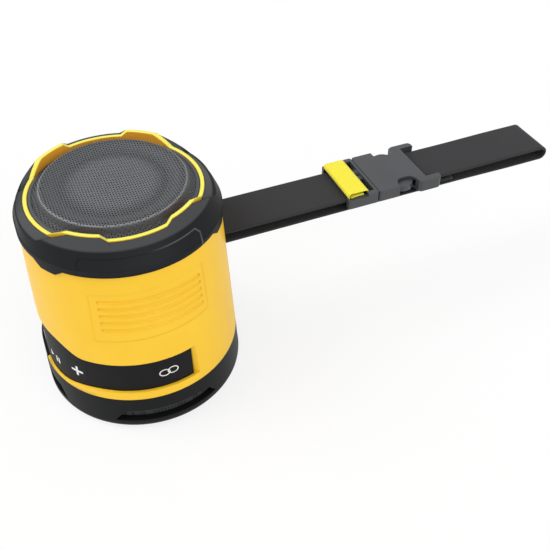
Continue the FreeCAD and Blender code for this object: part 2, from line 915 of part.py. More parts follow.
def mesh_outline(lower):
    """Half section of the dish: rim, step, raised edge, valley and middle dome, as arcs and lines."""
    base = mesh_rim_height - lower
    rim = V(mesh_edge_radius, 0, base)
    step = V(mesh_edge_radius - mesh_step_inset, 0, base + mesh_step_rise)
    crest_radius = mesh_edge_radius - mesh_top_inset
    shoulder = V(crest_radius + mesh_shoulder_setout, 0, base + mesh_top_rise - mesh_shoulder_drop)
    crest = V(crest_radius - mesh_crest_setback, 0, base + mesh_top_rise)
    valley = V(mesh_edge_radius - mesh_valley_inset, 0, base + mesh_valley_rise)
    dome_radius = mesh_edge_radius - mesh_dome_inset
    edge_height = base + mesh_dome_top_rise - mesh_dome_bulge
    dome = V(dome_radius, 0, edge_height)
    slope = V((crest.x + valley.x) / 2, 0, (crest.z + valley.z) / 2 + mesh_slope_bulge)
    return [
        Part.makeLine(rim, step), Part.makeLine(step, shoulder), Part.makeLine(shoulder, crest),
        Part.Arc(crest, slope, valley).toShape(), Part.makeLine(valley, dome),
        dome_arc(dome_radius, edge_height, mesh_dome_bulge)]


def make_grille():
    upper = mesh_outline(0)
    lower = mesh_outline(mesh_thickness)
    rim = V(mesh_edge_radius, 0, mesh_rim_height)
    middle = V(0, 0, mesh_rim_height + mesh_dome_top_rise)
    drop = V(0, 0, -mesh_thickness)
    ends = [Part.makeLine(rim, rim + drop), Part.makeLine(middle, middle + drop)]
    outline = Part.Wire(Part.__sortEdges__(upper + lower + ends))
    return Part.Face(outline).revolve(ORIGIN, Z_AXIS, 360)


def make_grille_ring():
    top = mesh_rim_height - mesh_thickness
    return tube(mesh_edge_radius, mesh_edge_radius - mesh_ring_wall, shoulder_height, top)


def make_keypad_band():
    surface = case_shell(band_recess, band_recess + band_thickness, band_low, band_high)
    band = surface.common(band_prism(0))
    for name, angle, z in key_list():
        hole = radial_block(angle, z, key_width + 2 * key_fit, key_height + 2 * key_fit, key_corner + key_fit)
        band = band.cut(hole)
    return band


def make_key(angle, z):
    skin = case_shell(band_recess, band_recess + key_cap_thickness, z - key_height, z + key_height)
    cap = skin.common(radial_block(angle, z, key_width, key_height, key_corner))
    reach = surface_distance(angle, z) - band_recess - key_cap_thickness / 2
    stem = radial_pin(angle, z, key_stem_radius, reach - key_stem_length - key_cap_thickness / 2, reach)
    return cap.fuse(stem)


def stem_tip_inset():
    return band_recess + key_cap_thickness + key_stem_length


def strip_inset():
    """Inset of the key board strip: behind the stems, their travel and the dome switches."""
    return stem_tip_inset() + key_travel + dome_height + dome_gap


def make_key_strip():
    inset = strip_inset()
    middle = (key_height_link + key_height_middle) / 2
    low = middle - board_strip_half_height
    high = middle + board_strip_half_height
    strip = case_shell(inset, inset + board_strip_thickness, low, high)
    strip = strip.common(box(-far_out, far_out, -far_out, band_end - strip_end_margin, low, high))
    strip = strip.cut(box(-far_out, -strip_left_reach, strip_left_front, far_out, low - 1, high + 1))
    boss_top = base_height + chassis_thickness + screw_boss_height
    for angle in screw_angles():
        half = screw_boss_radius + strip_boss_gap
        notch = box(-half, half, -far_out, -screw_circle + half, low - 1, boss_top + strip_boss_gap)
        notch.rotate(ORIGIN, Z_AXIS, angle)
        strip = strip.cut(notch)
    for name, angle, z in key_list():
        reach = surface_distance(angle, z) - inset
        dome = radial_pin(angle, z, dome_radius, reach - board_strip_thickness / 2, reach + dome_height)
        strip = strip.fuse(dome)
    return strip


def make_base_ring():
    low = base_lift
    high = base_height - seam_gap
    solid = case_form(0, low, high)
    rim = [e for e in solid.Edges if e.BoundBox.ZMax < low + 0.01]
    solid = solid.makeFillet(base_edge_radius, rim)
    solid = solid.cut(case_form(base_wall, low + base_floor, high + 1))
    solid = solid.cut(disc(foot_radius + foot_fit, low - 1, foot_thickness))
    outline = [
        (-slot_half_bottom, slot_bottom), (slot_half_bottom, slot_bottom),
        (slot_half_top, slot_top), (-slot_half_top, slot_top)]
    solid = solid.cut(prism_along_x(outline)).cut(prism_along_y(outline))
    for angle in screw_angles():
        solid = solid.fuse(screw_hole(angle, screw_boss_radius, low + base_floor / 2, base_height))
    for angle in screw_angles():
        solid = solid.cut(screw_hole(angle, screw_shank_radius + screw_clearance, low - 1, high + 1))
        solid = solid.cut(screw_hole(angle, screw_head_radius + screw_clearance, low - 1, screw_seat()))
    return solid


def screw_seat():
    return foot_thickness + screw_head_height + screw_seat_rise


def make_base_screws():
    screws = []
    for angle in screw_angles():
        head = screw_hole(angle, screw_head_radius, screw_seat() - screw_head_height, screw_seat())
        shank = screw_hole(angle, screw_shank_radius, screw_seat() - 0.2, screw_tip())
        screw = head.fuse(shank)
        low = screw_seat() - 2 * screw_head_height
        socket = screw_hole(angle, screw_socket_radius, low, screw_seat() - 0.5)
        screws.append(screw.cut(socket))
    return Part.makeCompound(screws)


def make_base_mesh():
    inset = base_wall + base_mesh_gap
    low = base_lift + base_floor
    return case_shell(inset, inset + base_mesh_thickness, low, low + base_mesh_height)


def make_foot_pad():
    pad = disc(foot_radius, 0, foot_thickness)
    bottom = [e for e in pad.Edges if e.BoundBox.ZMax < 0.01]
    return pad.makeFillet(foot_edge, bottom)


def make_chassis_plate():
    low = base_height
    plate = case_form(wall + chassis_fit, low, low + chassis_thickness)
    plate = plate.cut(disc(passive_hole_radius, low - 1, low + chassis_thickness + 1))
    high = low + chassis_thickness
    front_edge = case_shell(0, band_recess + band_thickness + chassis_fit, low - 1, high + 1)
    plate = plate.cut(front_edge.common(box(-far_out, far_out, -far_out, band_drop_start, low - 1, high + 1)))
    for side in (1, -1):
        x = side * board_foot_offset
        foot = box(x - board_foot_half_width, x + board_foot_half_width, board_face - board_foot_wall,
                   board_face + board_thickness + board_foot_wall, low + 0.5, high + board_foot_height)
        slot = box(x - board_foot_half_width - 1, x + board_foot_half_width + 1, board_face - board_foot_fit,
                   board_face + board_thickness + board_foot_fit, high + board_foot_fit, far_up)
        plate = plate.fuse(foot).cut(slot)
    for angle in screw_angles():
        plate = plate.cut(screw_hole(angle, screw_shank_radius + screw_clearance, low - 1, low + 10))
    return plate


def roll_section(inner, outer, z, rise, lip):
    """Half roll of rubber between two radii, with a flat lip outside and a short one inside."""
    middle = (inner + outer) / 2
    top = Part.Arc(V(inner, 0, z), V(middle, 0, z + rise), V(outer, 0, z)).toShape()
    shift = V(0, 0, -roll_thickness)
    low = Part.Arc(V(inner, 0, z) + shift, V(middle, 0, z + rise) + shift, V(outer, 0, z) + shift).toShape()
    far = V(outer + lip, 0, z)
    near = V(inner - roll_inner_lip, 0, z)
    edges = [
        top, low, Part.makeLine(V(outer, 0, z), far), Part.makeLine(far, far + shift),
        Part.makeLine(far + shift, V(outer, 0, z) + shift), Part.makeLine(V(inner, 0, z), near),
        Part.makeLine(near, near + shift), Part.makeLine(near + shift, V(inner, 0, z) + shift)]
    return Part.Face(Part.Wire(Part.__sortEdges__(edges))).revolve(ORIGIN, Z_AXIS, 360)


def passive_level():
    return base_height - passive_frame_thickness


def make_passive_frame():
    top = base_height
    ring = tube(
        passive_frame_outer, passive_hole_radius - passive_frame_step, top - passive_frame_thickness, top)
    seat = tube(
        passive_hole_radius + passive_seat_setout, passive_hole_radius - passive_seat_setback,
        top - passive_frame_thickness - 1, top - passive_frame_thickness + roll_thickness)
    return ring.cut(seat)


def make_passive_surround():
    z = passive_level() + roll_thickness
    inner = passive_plate_radius + passive_plate_lip
    outer = passive_hole_radius - passive_roll_setback
    return roll_section(inner, outer, z, passive_roll_rise, passive_roll_lip)


def make_passive_plate():
    low = passive_level() + roll_thickness
    plate = disc(passive_plate_radius + passive_plate_lip, low, low + passive_plate_thickness)
    weight = disc(passive_weight_radius, low - passive_weight_thickness, low + 0.1)
    return plate.fuse(weight)


def driver_level():
    """Underside of the driver's flange, on its gasket."""
    return shoulder_height + gasket_thickness


def make_driver_gasket():
    ring = tube(flange_outer, driver_hole_radius, shoulder_height, driver_level())
    return cut_driver_holes(ring, shoulder_height - 1, driver_level() + 1, gasket_hole_fit)


def cut_driver_holes(solid, z0, z1, clearance):
    for index in range(4):
        centre = radial(45 + 90 * index) * driver_screw_circle + V(0, 0, z0)
        solid = solid.cut(Part.makeCylinder(driver_screw_radius + clearance, z1 - z0, centre))
    return solid


def make_driver_basket():
    low = driver_level()
    high = low + flange_thickness
    neck = flange_inner + frame_neck
    ledge = spider_outer + spider_ledge
    wall_in = frame_bottom_radius
    wall_out = wall_in + frame_sheet
    under = spider_height - frame_sheet
    floor_edge = pole_radius + frame_floor_lip
    frame = revolve([
        (flange_inner, high), (flange_outer, high), (flange_outer, low), (neck, low),
        (neck, low - frame_neck_length), (ledge + frame_sheet, under), (wall_out, under),
        (wall_out, frame_bottom), (floor_edge, frame_bottom),
        (floor_edge, frame_bottom + frame_sheet), (wall_in, frame_bottom + frame_sheet),
        (wall_in, spider_height), (ledge, spider_height), (neck - frame_sheet, low - frame_neck_inside),
        (neck - frame_sheet, low - flange_rim_slope), (flange_inner, low - flange_rim_drop)])
    for index in range(4):
        window = box(-frame_window_width / 2, frame_window_width / 2, -far_out, -frame_bottom_radius - 1,
                     spider_height + frame_sheet, spider_height + frame_window_height)
        window.rotate(ORIGIN, Z_AXIS, 90 * index)
        frame = frame.cut(window)
    return cut_driver_holes(frame, low - 1, high + 1, flange_hole_fit)


def make_driver_screws():
    screws = []
    for index in range(4):
        centre = radial(45 + 90 * index) * driver_screw_circle
        seat = driver_level() + flange_thickness
        head = Part.makeCylinder(driver_head_radius, driver_head_height, centre + V(0, 0, seat))
        tip = shoulder_height - driver_screw_bite
        shank = Part.makeCylinder(driver_screw_radius, seat - tip + 0.1, centre + V(0, 0, tip))
        screws.append(head.fuse(shank))
    return Part.makeCompound(screws)


def top_plate_level():
    return frame_bottom - top_plate_thickness


def make_top_plate():
    hole = pole_radius + 2 * coil_gap + coil_wall
    return tube(top_plate_radius, hole, top_plate_level(), frame_bottom)


def make_magnet():
    high = top_plate_level()
    return tube(magnet_outer, magnet_inner, high - magnet_thickness, high)


def make_yoke():
    high = top_plate_level() - magnet_thickness
    yoke = disc(yoke_radius, high - yoke_thickness, high)
    return yoke.fuse(disc(pole_radius, high - 0.5, frame_bottom))


def coil_inner():
    return pole_radius + coil_gap


def make_voice_coil():
    top = spider_height + coil_rise
    return tube(coil_inner() + coil_wall, coil_inner(), top - coil_length, top)


def make_cone():
    inner = coil_inner() + coil_wall + cone_bond
    low = spider_height + cone_rise
    high = driver_level() + flange_thickness
    return revolve([
        (inner, low), (inner, low + cone_sheet * cone_foot_share), (cone_outer - cone_edge_top, high),
        (cone_outer, high), (cone_outer, high - cone_sheet), (cone_outer - cone_edge_low, high - cone_sheet)])


def make_dust_cap():
    radius = coil_inner() + coil_wall + dust_cap_overhang
    low = spider_height + dust_cap_lift
    inside = radius - dust_cap_sheet
    top = low + dust_cap_rise
    edges = [
        dome_arc(radius, low, dust_cap_rise), dome_arc(inside, low, dust_cap_rise - dust_cap_sheet),
        Part.makeLine(V(radius, 0, low), V(inside, 0, low)),
        Part.makeLine(V(0, 0, top), V(0, 0, top - dust_cap_sheet))]
    return Part.Face(Part.Wire(Part.__sortEdges__(edges))).revolve(ORIGIN, Z_AXIS, 360)


def make_surround():
    z = driver_level() + flange_thickness + roll_thickness
    inner = cone_outer + surround_overlap
    outer = flange_inner + surround_overlap
    return roll_section(inner, outer, z, surround_rise, surround_lip)


def make_spider():
    """Corrugated ring that centres the coil, resting on the basket's ledge."""
    inner = coil_inner() + coil_wall + spider_bond
    span = spider_outer - inner
    upper = []
    for index in range(spider_waves):
        start = inner + span * index / spider_waves
        end = inner + span * (index + 1) / spider_waves
        rise = spider_wave_rise if index % 2 == 0 else -spider_wave_rise
        upper.append((V(start, 0, 0), V((start + end) / 2, 0, rise), V(end, 0, 0)))
    edges = []
    for start, middle, end in upper:
        for lift in (0, spider_sheet):
            shift = V(0, 0, spider_height + lift)
            edges.append(Part.Arc(start + shift, middle + shift, end + shift).toShape())
    for radius in (inner, spider_outer):
        edges.append(Part.makeLine(V(radius, 0, spider_height), V(radius, 0, spider_height + spider_sheet)))
    return Part.Face(Part.Wire(Part.__sortEdges__(edges))).revolve(ORIGIN, Z_AXIS, 360)


def make_cells():
    cells = []
    for side in (1, -1):
        start = V(-cell_length / 2, side * cell_spacing / 2, cell_axis_height)
        cell = Part.makeCylinder(cell_radius, cell_length, start, X_AXIS)
        end = V(cell_length / 2 - cell_cap_overlap, side * cell_spacing / 2, cell_axis_height)
        cap = Part.makeCylinder(cell_cap_radius, cell_cap_height, end, X_AXIS)
        cells.append(cell.fuse(cap))
    return Part.makeCompound(cells)


def make_battery_holder():
    half_length = cell_length / 2 + holder_end_gap + holder_wall
    half_width = cell_spacing / 2 + cell_radius + holder_wall
    tray = box(-half_length, half_length, -half_width, half_width, holder_bottom,
               cell_axis_height + holder_snap)
    for side in (1, -1):
        start = V(-cell_length / 2 - cell_end_gap, side * cell_spacing / 2, cell_axis_height)
        bed = Part.makeCylinder(cell_radius + cell_bed_fit, cell_length + cell_bed_margin, start, X_AXIS)
        tray = tray.cut(bed)
    for sx in (1, -1):
        for sy in (1, -1):
            x = sx * (half_length - holder_leg / 2 - holder_leg_setback)
            y = sy * (half_width - holder_leg / 2)
            leg = box(x - holder_leg / 2, x + holder_leg / 2, y - holder_leg / 2, y + holder_leg / 2,
                      base_height + chassis_thickness, holder_bottom + holder_leg_overlap)
            tray = tray.fuse(leg)
    return tray


def make_main_board():
    low = base_height + chassis_thickness + 3 * board_foot_fit
    board = box(-board_half_width, board_half_width, board_face, board_face + board_thickness, low, board_top)
    root = board_face + board_part_overlap
    chip_top = board_top - chip_top_drop
    chip_low = chip_top - chip_height
    chip = box(chip_left, chip_right, board_face - chip_thickness, root, chip_low, chip_top)
    inductor = box(inductor_left, inductor_right, board_face - inductor_thickness, root, chip_low, chip_top)
    foot = V(can_x, board_face + board_part_overlap / 2, board_top - can_drop)
    can = Part.makeCylinder(can_radius, can_length, foot, V(0, -1, 0))
    return board.fuse([chip, inductor, can])


def make_charging_socket():
    y0 = board_face + board_thickness
    y1 = y0 + socket_depth
    half = socket_width / 2
    low = socket_centre - socket_height / 2
    shell = box(-half, half, y0, y1, low, low + socket_height)
    long_edges = [e for e in shell.Edges if abs(e.BoundBox.YLength - socket_depth) < 0.1]
    shell = shell.makeFillet(socket_corner, long_edges)
    mouth = box(-half + socket_wall, half - socket_wall, y0 + socket_back, y1 + 1, low + socket_wall,
                low + socket_height - socket_wall)
    tongue = box(
        -socket_tongue_half_width, socket_tongue_half_width, y0 + socket_tongue_start,
        y1 - socket_tongue_setback, socket_centre - socket_tongue_half_height,
        socket_centre + socket_tongue_half_height)
    return shell.cut(mouth).fuse(tongue)


def cover_pin(clearance):
    start = V(-cover_pin_end - clearance, cover_hinge_y, cover_hinge_height)
    return Part.makeCylinder(cover_pin_radius + clearance, 2 * (cover_pin_end + clearance), start, X_AXIS)


def make_port_cover():
    """Rubber flap: flat behind, round in front, with a plug for the socket and a pin along its lower edge."""
    half = port_half_width - cover_fit
    narrow = port_lug_start - cover_fit
    back = port_floor + cover_fit
    high = port_top - cover_fit
    wide_part = box(-half, half, back, far_out, port_lug_top + cover_lug_fit, high)
    corners = [e for e in wide_part.Edges if e.BoundBox.YLength > far_out - back - 1]
    wide_part = wide_part.makeFillet(port_corner - cover_fit, corners)
    tail = box(-narrow, narrow, back, far_out, cover_hinge_height + cover_fit,
               port_lug_top + cover_overlap)
    flap = wide_part.fuse(tail).common(case_form(cover_sink, base_height, shoulder_height))
    start = V(-narrow, cover_hinge_y, cover_hinge_height)
    knuckle = Part.makeCylinder(cover_knuckle_radius, 2 * narrow, start, X_AXIS)
    plug = box(-cover_plug_half_width, cover_plug_half_width, port_floor - cover_plug_depth, back + 0.5,
               socket_centre - cover_plug_height / 2, socket_centre + cover_plug_height / 2)
    start = V(-cover_lift_length / 2, back_depth(high) - cover_lift_radius / 2, high - cover_lift_radius)
    lift = Part.makeCylinder(cover_lift_radius, cover_lift_length, start, X_AXIS)
    return flap.fuse([knuckle, plug, lift, cover_pin(0)])


def strap_bar_solid(clearance):
    half = recess_half_width + bar_hold
    start = V(-half - clearance, bar_centre_y, bar_centre_z)
    return Part.makeCylinder(bar_radius + clearance, 2 * (half + clearance), start, X_AXIS)


def arc_through(centre_y, centre_z, radius, start, end):
    """Arc in the YZ plane about a centre, from one angle to another, in degrees from +Y to +Z."""
    points = []
    for angle in (start, (start + end) / 2, end):
        turn = math.radians(angle)
        points.append(V(0, centre_y + radius * math.cos(turn), centre_z + radius * math.sin(turn)))
    return Part.Arc(points[0], points[1], points[2]).toShape()


def webbing_solid(edges, half_width):
    """Webbing across the strap's width from a closed side view in the YZ plane."""
    face = Part.Face(Part.Wire(Part.__sortEdges__(edges)))
    face.translate(V(-half_width, 0, 0))
    return face.extrude(V(2 * half_width, 0, 0))


def line_yz(y0, z0, y1, z1):
    return Part.makeLine(V(0, y0, z0), V(0, y1, z1))


def make_strap_long():
    """Wrap round the speaker's bar, lower run, far fold, upper run and the wrap round the buckle's bar."""
    inner = strap_inner
    outer = inner + webbing_thickness
    z = bar_centre_z
    near = bar_centre_y
    far = strap_far_end
    end_centre = (end_bar_bottom + end_bar_top) / 2
    fold = end_bar_start + end_fold_length
    edges = [
        line_yz(near, z + inner, near, z + outer),
        arc_through(near, z, inner, 90, 270), arc_through(near, z, outer, 90, 270),
        line_yz(near, z - inner, far, z - inner), line_yz(near, z - outer, far, z - outer),
        arc_through(far, z, inner, -90, 90), arc_through(far, z, outer, -90, 90),
        line_yz(far, z + inner, end_bar_start, z + inner), line_yz(far, z + outer, end_bar_start, z + outer),
        arc_through(end_bar_start, end_centre, z + inner - end_centre, 90, 270),
        arc_through(end_bar_start, end_centre, z + outer - end_centre, 90, 270)]
    low_inner = end_centre - (z + inner - end_centre)
    low_outer = end_centre - (z + outer - end_centre)
    edges += [
        line_yz(end_bar_start, low_inner, fold, low_inner),
        line_yz(end_bar_start, low_outer, fold, low_outer),
        line_yz(fold, low_inner, fold, low_outer)]
    return webbing_solid(edges, webbing_width / 2)


def adjuster_centre():
    return (layer_top + fold_back_bottom()) / 2


def fold_back_bottom():
    return adjuster_bar_top + tab_thickness + 3 * tab_fit


def make_strap_short():
    """Upper run from the speaker's bar to the buckle's adjuster bar, folded back over it."""
    top = layer_top
    low = top - webbing_thickness
    back_low = fold_back_bottom()
    centre = adjuster_centre()
    inner = back_low - centre
    start = bar_centre_y + webbing_bond
    edges = [
        line_yz(start, low, start, top),
        line_yz(start, low, adjuster_bar_end, low),
        line_yz(start, top, adjuster_bar_end, top),
        arc_through(adjuster_bar_end, centre, inner, -90, 90),
        arc_through(adjuster_bar_end, centre, inner + webbing_thickness, -90, 90),
        line_yz(adjuster_bar_end, back_low, fold_back_end, back_low),
        line_yz(adjuster_bar_end, back_low + webbing_thickness, fold_back_end, back_low + webbing_thickness),
        line_yz(fold_back_end, back_low, fold_back_end, back_low + webbing_thickness)]
    return webbing_solid(edges, webbing_width / 2)


def make_strap_tab():
    """Coloured ribbon sleeve round the folded-back end of the webbing."""
    low = fold_back_bottom() - tab_fit
    high = low + webbing_thickness + 2 * tab_fit
    start = tab_start + tab_thickness
    end = adjuster_bar_end
    inside = box(-webbing_width, webbing_width, start, end + 1, low, high)
    outside = box(-tab_half_width, tab_half_width, tab_start, end, low - tab_thickness, high + tab_thickness)
    front = [e for e in outside.Edges if e.BoundBox.XLength > 5 and e.BoundBox.YMax < tab_start + 0.1]
    outside = outside.makeFillet(tab_edge, front)
    return outside.cut(inside)


def rounded_block(half, y0, y1, corner):
    """Block of the buckle's height with rounded upright corners and softened upper and lower edges."""
    block = box(-half, half, y0, y1, buckle_bottom, buckle_top)
    upright = [e for e in block.Edges if abs(e.BoundBox.ZLength - buckle_height) < 0.1]
    block = block.makeFillet(corner, upright)
    level = [e for e in block.Edges if e.BoundBox.ZLength < 0.01]
    return block.makeFillet(buckle_edge, level)


def make_buckle_male():
    frame = rounded_block(buckle_half_width, buckle_start, buckle_seam - buckle_gap, male_corner)
    frame = frame.cut(box(-rail_inner, rail_inner, buckle_start - 1, male_bridge_start, 0, far_up))
    frame = frame.cut(box(
        -far_out, far_out, buckle_start - 1, adjuster_bar_end + rail_drop, buckle_top - rail_drop, far_up))
    bar = box(
        -rail_inner - 1, rail_inner + 1, adjuster_bar_start, adjuster_bar_end,
        adjuster_bar_bottom, adjuster_bar_top)
    bar = bar.makeFillet(adjuster_edge, [e for e in bar.Edges if e.BoundBox.XLength > rail_inner])
    bridge_half = cavity_half_width - bridge_side_fit
    bridge_start = male_bridge_start + bridge_overlap
    bridge = box(-bridge_half, bridge_half, bridge_start, male_bridge_end, arm_bottom, arm_top)
    tongue = box(-tongue_half_width, tongue_half_width, male_bridge_end - 1, tongue_end, arm_bottom, arm_top)
    fold_reach = adjuster_bar_end + (fold_back_bottom() - layer_top) / 2 + webbing_thickness
    rib = box(-slot_rib_half_width, slot_rib_half_width, fold_reach + slot_rib_fit, bridge_start,
              adjuster_bar_bottom, buckle_top - rail_drop)
    male = frame.fuse([bar, bridge, tongue, rib])
    for side in (1, -1):
        x0 = side * (arm_inner - arm_root_gap)
        x1 = side * (arm_outer + arm_root_gap)
        root = male_bridge_end - arm_root_depth
        male = male.cut(box(min(x0, x1), max(x0, x1), root, tongue_end, 0, far_up))
    return male


def make_buckle_arm(side):
    """Springy arm with its latch shoulder and the curved button that stands in the side notch."""
    root = male_bridge_end - arm_root_depth + arm_root_gap
    points = [
        V(arm_inner, root, 0), V(arm_outer, root, 0), V(arm_outer, arm_shoulder - arm_neck_reach, 0),
        V(arm_outer + arm_flare, arm_shoulder, 0), V(arm_bulge - button_root_setback, arm_shoulder, 0)]
    edges = [Part.makeLine(points[i], points[i + 1]) for i in range(len(points) - 1)]
    high = V(arm_bulge, (arm_shoulder + arm_tip) / 2 - button_forward, 0)
    tip = V(arm_inner + arm_tip_setout, arm_tip, 0)
    edges.append(Part.Arc(points[-1], high, tip).toShape())
    hook = V(arm_inner - hook_setback, arm_tip - hook_length, 0)
    bend = V(arm_inner + hook_bend_setout, arm_tip - hook_bend_length, 0)
    edges.append(Part.Arc(tip, bend, hook).toShape())
    edges.append(Part.makeLine(hook, points[0]))
    face = Part.Face(Part.Wire(Part.__sortEdges__(edges)))
    face.translate(V(0, 0, arm_bottom))
    arm = face.extrude(V(0, 0, arm_top - arm_bottom))
    if side < 0:
        arm = arm.mirror(ORIGIN, X_AXIS)
    return arm


def make_buckle_female():
    block = rounded_block(buckle_half_width, buckle_seam, buckle_end, female_corner)
    block = block.fuse(rounded_block(ear_half_width, notch_end, buckle_end, ear_corner))
    cavity = box(-cavity_half_width, cavity_half_width, buckle_seam - 1, cavity_end,
                 arm_bottom - arm_fit, arm_top + arm_fit)
    block = block.cut(cavity)
    for side in (1, -1):
        x0 = side * notch_inner
        x1 = side * far_out
        notch = box(min(x0, x1), max(x0, x1), notch_start, notch_end, 0, far_up)
        upright = [e for e in notch.Edges if e.BoundBox.ZLength > 5]
        inner_edges = [e for e in upright if abs(e.BoundBox.Center.x) < notch_inner + 1]
        block = block.cut(notch.makeFillet(notch_corner, inner_edges))
    block = block.cut(box(-rail_inner, rail_inner, end_slot_start, buckle_end + 1, 0, far_up))
    bar = box(
        -rail_inner - 1, rail_inner + 1, end_bar_start, buckle_end - end_bar_setback,
        end_bar_bottom, end_bar_top)
    bar = bar.makeFillet(adjuster_edge, [e for e in bar.Edges if e.BoundBox.XLength > rail_inner])
    return block.fuse(bar)


def write(name, shape):
    shape.exportStep("parts/" + name + ".step")
    print(name, "valid", shape.isValid(), "solids", len(shape.Solids), "volume", round(shape.Volume, 1))


def main():
    os.makedirs("parts", exist_ok=True)
    write("housing", make_housing())
    write("bumper", make_bumper())
    write("grille", make_grille())
    write("grille_ring", make_grille_ring())
    write("keypad_band", make_keypad_band())
    for name, angle, z in key_list():
        write(name, make_key(angle, z))
    write("key_strip", make_key_strip())
    write("base_ring", make_base_ring())
    write("base_mesh", make_base_mesh())
    write("foot_pad", make_foot_pad())
    write("base_screws", make_base_screws())
    write("chassis_plate", make_chassis_plate())
    write("passive_frame", make_passive_frame())
    write("passive_surround", make_passive_surround())
    write("passive_plate", make_passive_plate())
    write("driver_gasket", make_driver_gasket())
    write("driver_basket", make_driver_basket())
    write("driver_screws", make_driver_screws())
    write("driver_top_plate", make_top_plate())
    write("driver_magnet", make_magnet())
    write("driver_yoke", make_yoke())
    write("voice_coil", make_voice_coil())
    write("cone", make_cone())
    write("dust_cap", make_dust_cap())
    write("surround", make_surround())
    write("spider", make_spider())
    write("battery_cells", make_cells())
    write("battery_holder", make_battery_holder())
    write("main_board", make_main_board())
    write("charging_socket", make_charging_socket())
    write("port_cover", make_port_cover())
    write("strap_bar", strap_bar_solid(0))
    write("strap_long", make_strap_long())
    write("strap_short", make_strap_short())
    write("strap_tab", make_strap_tab())
    write("buckle_male", make_buckle_male())
    write("buckle_arm_right", make_buckle_arm(1))
    write("buckle_arm_left", make_buckle_arm(-1))
    write("buckle_female", make_buckle_female())


main()
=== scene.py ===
import math

import bpy
import numpy as np
from mathutils import Matrix, Vector


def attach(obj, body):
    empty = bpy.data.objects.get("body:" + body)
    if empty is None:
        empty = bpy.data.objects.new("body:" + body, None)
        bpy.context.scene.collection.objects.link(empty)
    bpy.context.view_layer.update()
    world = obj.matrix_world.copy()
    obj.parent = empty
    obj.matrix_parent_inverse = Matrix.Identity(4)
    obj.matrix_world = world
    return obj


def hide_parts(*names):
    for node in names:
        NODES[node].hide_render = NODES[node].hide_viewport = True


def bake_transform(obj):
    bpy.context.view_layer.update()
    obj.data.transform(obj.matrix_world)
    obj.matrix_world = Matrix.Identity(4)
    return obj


bl_info = {
    "name": "Jobsite bluetooth speaker",
    "version": (1, 0, 0),
    "blender": (4, 5, 0),
    "location": "View3D > Sidebar > Speaker",
    "description": "Dresses the packed speaker frame with its visible surfaces, materials and stage",
    "category": "Object",
}

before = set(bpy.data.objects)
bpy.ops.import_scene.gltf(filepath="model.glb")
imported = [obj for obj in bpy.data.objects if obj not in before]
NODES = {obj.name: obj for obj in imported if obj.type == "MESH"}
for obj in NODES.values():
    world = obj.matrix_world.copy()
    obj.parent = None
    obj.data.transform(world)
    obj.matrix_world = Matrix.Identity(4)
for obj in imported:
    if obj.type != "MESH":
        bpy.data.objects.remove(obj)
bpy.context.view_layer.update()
MM = 0.001

# Form of the case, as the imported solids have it, in millimetres: an oval of two round sides joined by flats.
# A taper is what the value before it loses with each millimetre of height.
SIDE_RADIUS = 47.25
SIDE_TAPER = 0.045
SIDE_OUT = 4.75
SIDE_OUT_TAPER = 0.0185
SIDE_BACK = 1.05
SIDE_BACK_TAPER = 0.005
BAND_RECESS = 1.2
BASE_TOP = 20.6

# Lower edge of the keypad band, where it meets the yellow lip under it: pairs of Y and height
LIP_EDGE = ((-23.0, 25.3), (-28.2, 24.45), (-32.2, 23.65), (-36.4, 22.8), (-40.0, 21.75), (-42.8, 21.0),
            (-45.6, 20.55))
# Where the lip starts, and for each side where it ends, in degrees from the front, and the length of its
# taper. That starts on the right, and is over on the left, at LIP_FRONT ahead of the axis.
LIP_START = 62.0
LIP_SIDES = ((1, 8.0, 20.0), (-1, 19.0, 6.0))
LIP_FRONT = 43.8
# Angles between which the lip comes out of the case, and how deep inside the case's face it is at each
LIP_EMERGES = (51, 60)
LIP_OUT = (-0.03, 0.15)
# Bevel of the lip's upper edge, how far its foot stands in the base, and how far its top goes in past the band
LIP_BEVEL = 0.12
LIP_FOOT = 0.08
LIP_BACK = 0.2
LIP_COLUMNS = 90
# Height at which the search for the lip's top starts
LIP_GUESS = 22.0

# Keys: node, angle from the front, height of the sign
KEYS = {
    "key_link": (93.0, 33.5),
    "key_plus": (41.6, 31.7),
    "key_play": (21.6, 29.7),
    "key_minus": (1.6, 29.7),
    "key_pairing": (-18.4, 29.7),
    "key_power": (-41.6, 31.7),
}
# Widths of the volume signs' lines, and of the power and pairing signs' lines, and how far apart the points
# of a straight line may be
HEAVY_LINE = 1.15
FINE_LINE = 0.6
SIGN_STEP = 0.25

# Dish of the grille: radius and height of its top surface
DISH = ((0.0, 105.0), (8.75, 104.85), (17.5, 104.4), (22.5, 103.75), (25.0, 104.35), (28.0, 105.6),
        (29.6, 105.9), (30.7, 105.75), (31.5, 105.2), (32.0, 104.0), (32.6, 102.35), (34.0, 101.9),
        (36.2, 101.2))
# Radii of the dish's edge and of the part that has holes
DISH_EDGE = 36.15
HOLED_EDGE = 35.2
# Holes: how far their edge is dimpled in, how deep the sheet is, how a slope narrows them, and how far a
# six-cornered hole's corners stand out to look as wide as a round one
HOLE_DIMPLE = 0.05
HOLE_DEPTH = 0.7
HOLE_NARROWING = 0.8
HOLE_CORNER = 1.05
# Cloth under the holes: how deep it lies, and the radius outside which it has closer rings
CLOTH_DEPTH = 0.72
CLOTH_BEND = 30.0
# Solid rim round the holes: radius, and height over the dish's top there
RIM_INNER = 34.6
RIM = ((34.6, -0.1), (34.6, 0.12), (34.8, 0.16), (35.9, 0.32), (36.15, 0.1), (36.15, -0.7))
# Radius at the end of the grille's ramp of greys, and the radii at which the grey changes, each with the
# property that holds it. The greys paint shade in the valley and the channel, and a highlight on the raised
# edge.
GRILLE_SPAN = 40.0
GRILLE_PAINTED_SHADING = ((16.0, "mesh_colour"), (21.0, "mesh_valley_shade"), (30.5, "mesh_valley_shade"),
                (30.9, "mesh_ridge_highlight"), (31.1, "mesh_ridge_highlight"), (31.5, "mesh_channel_shade"))
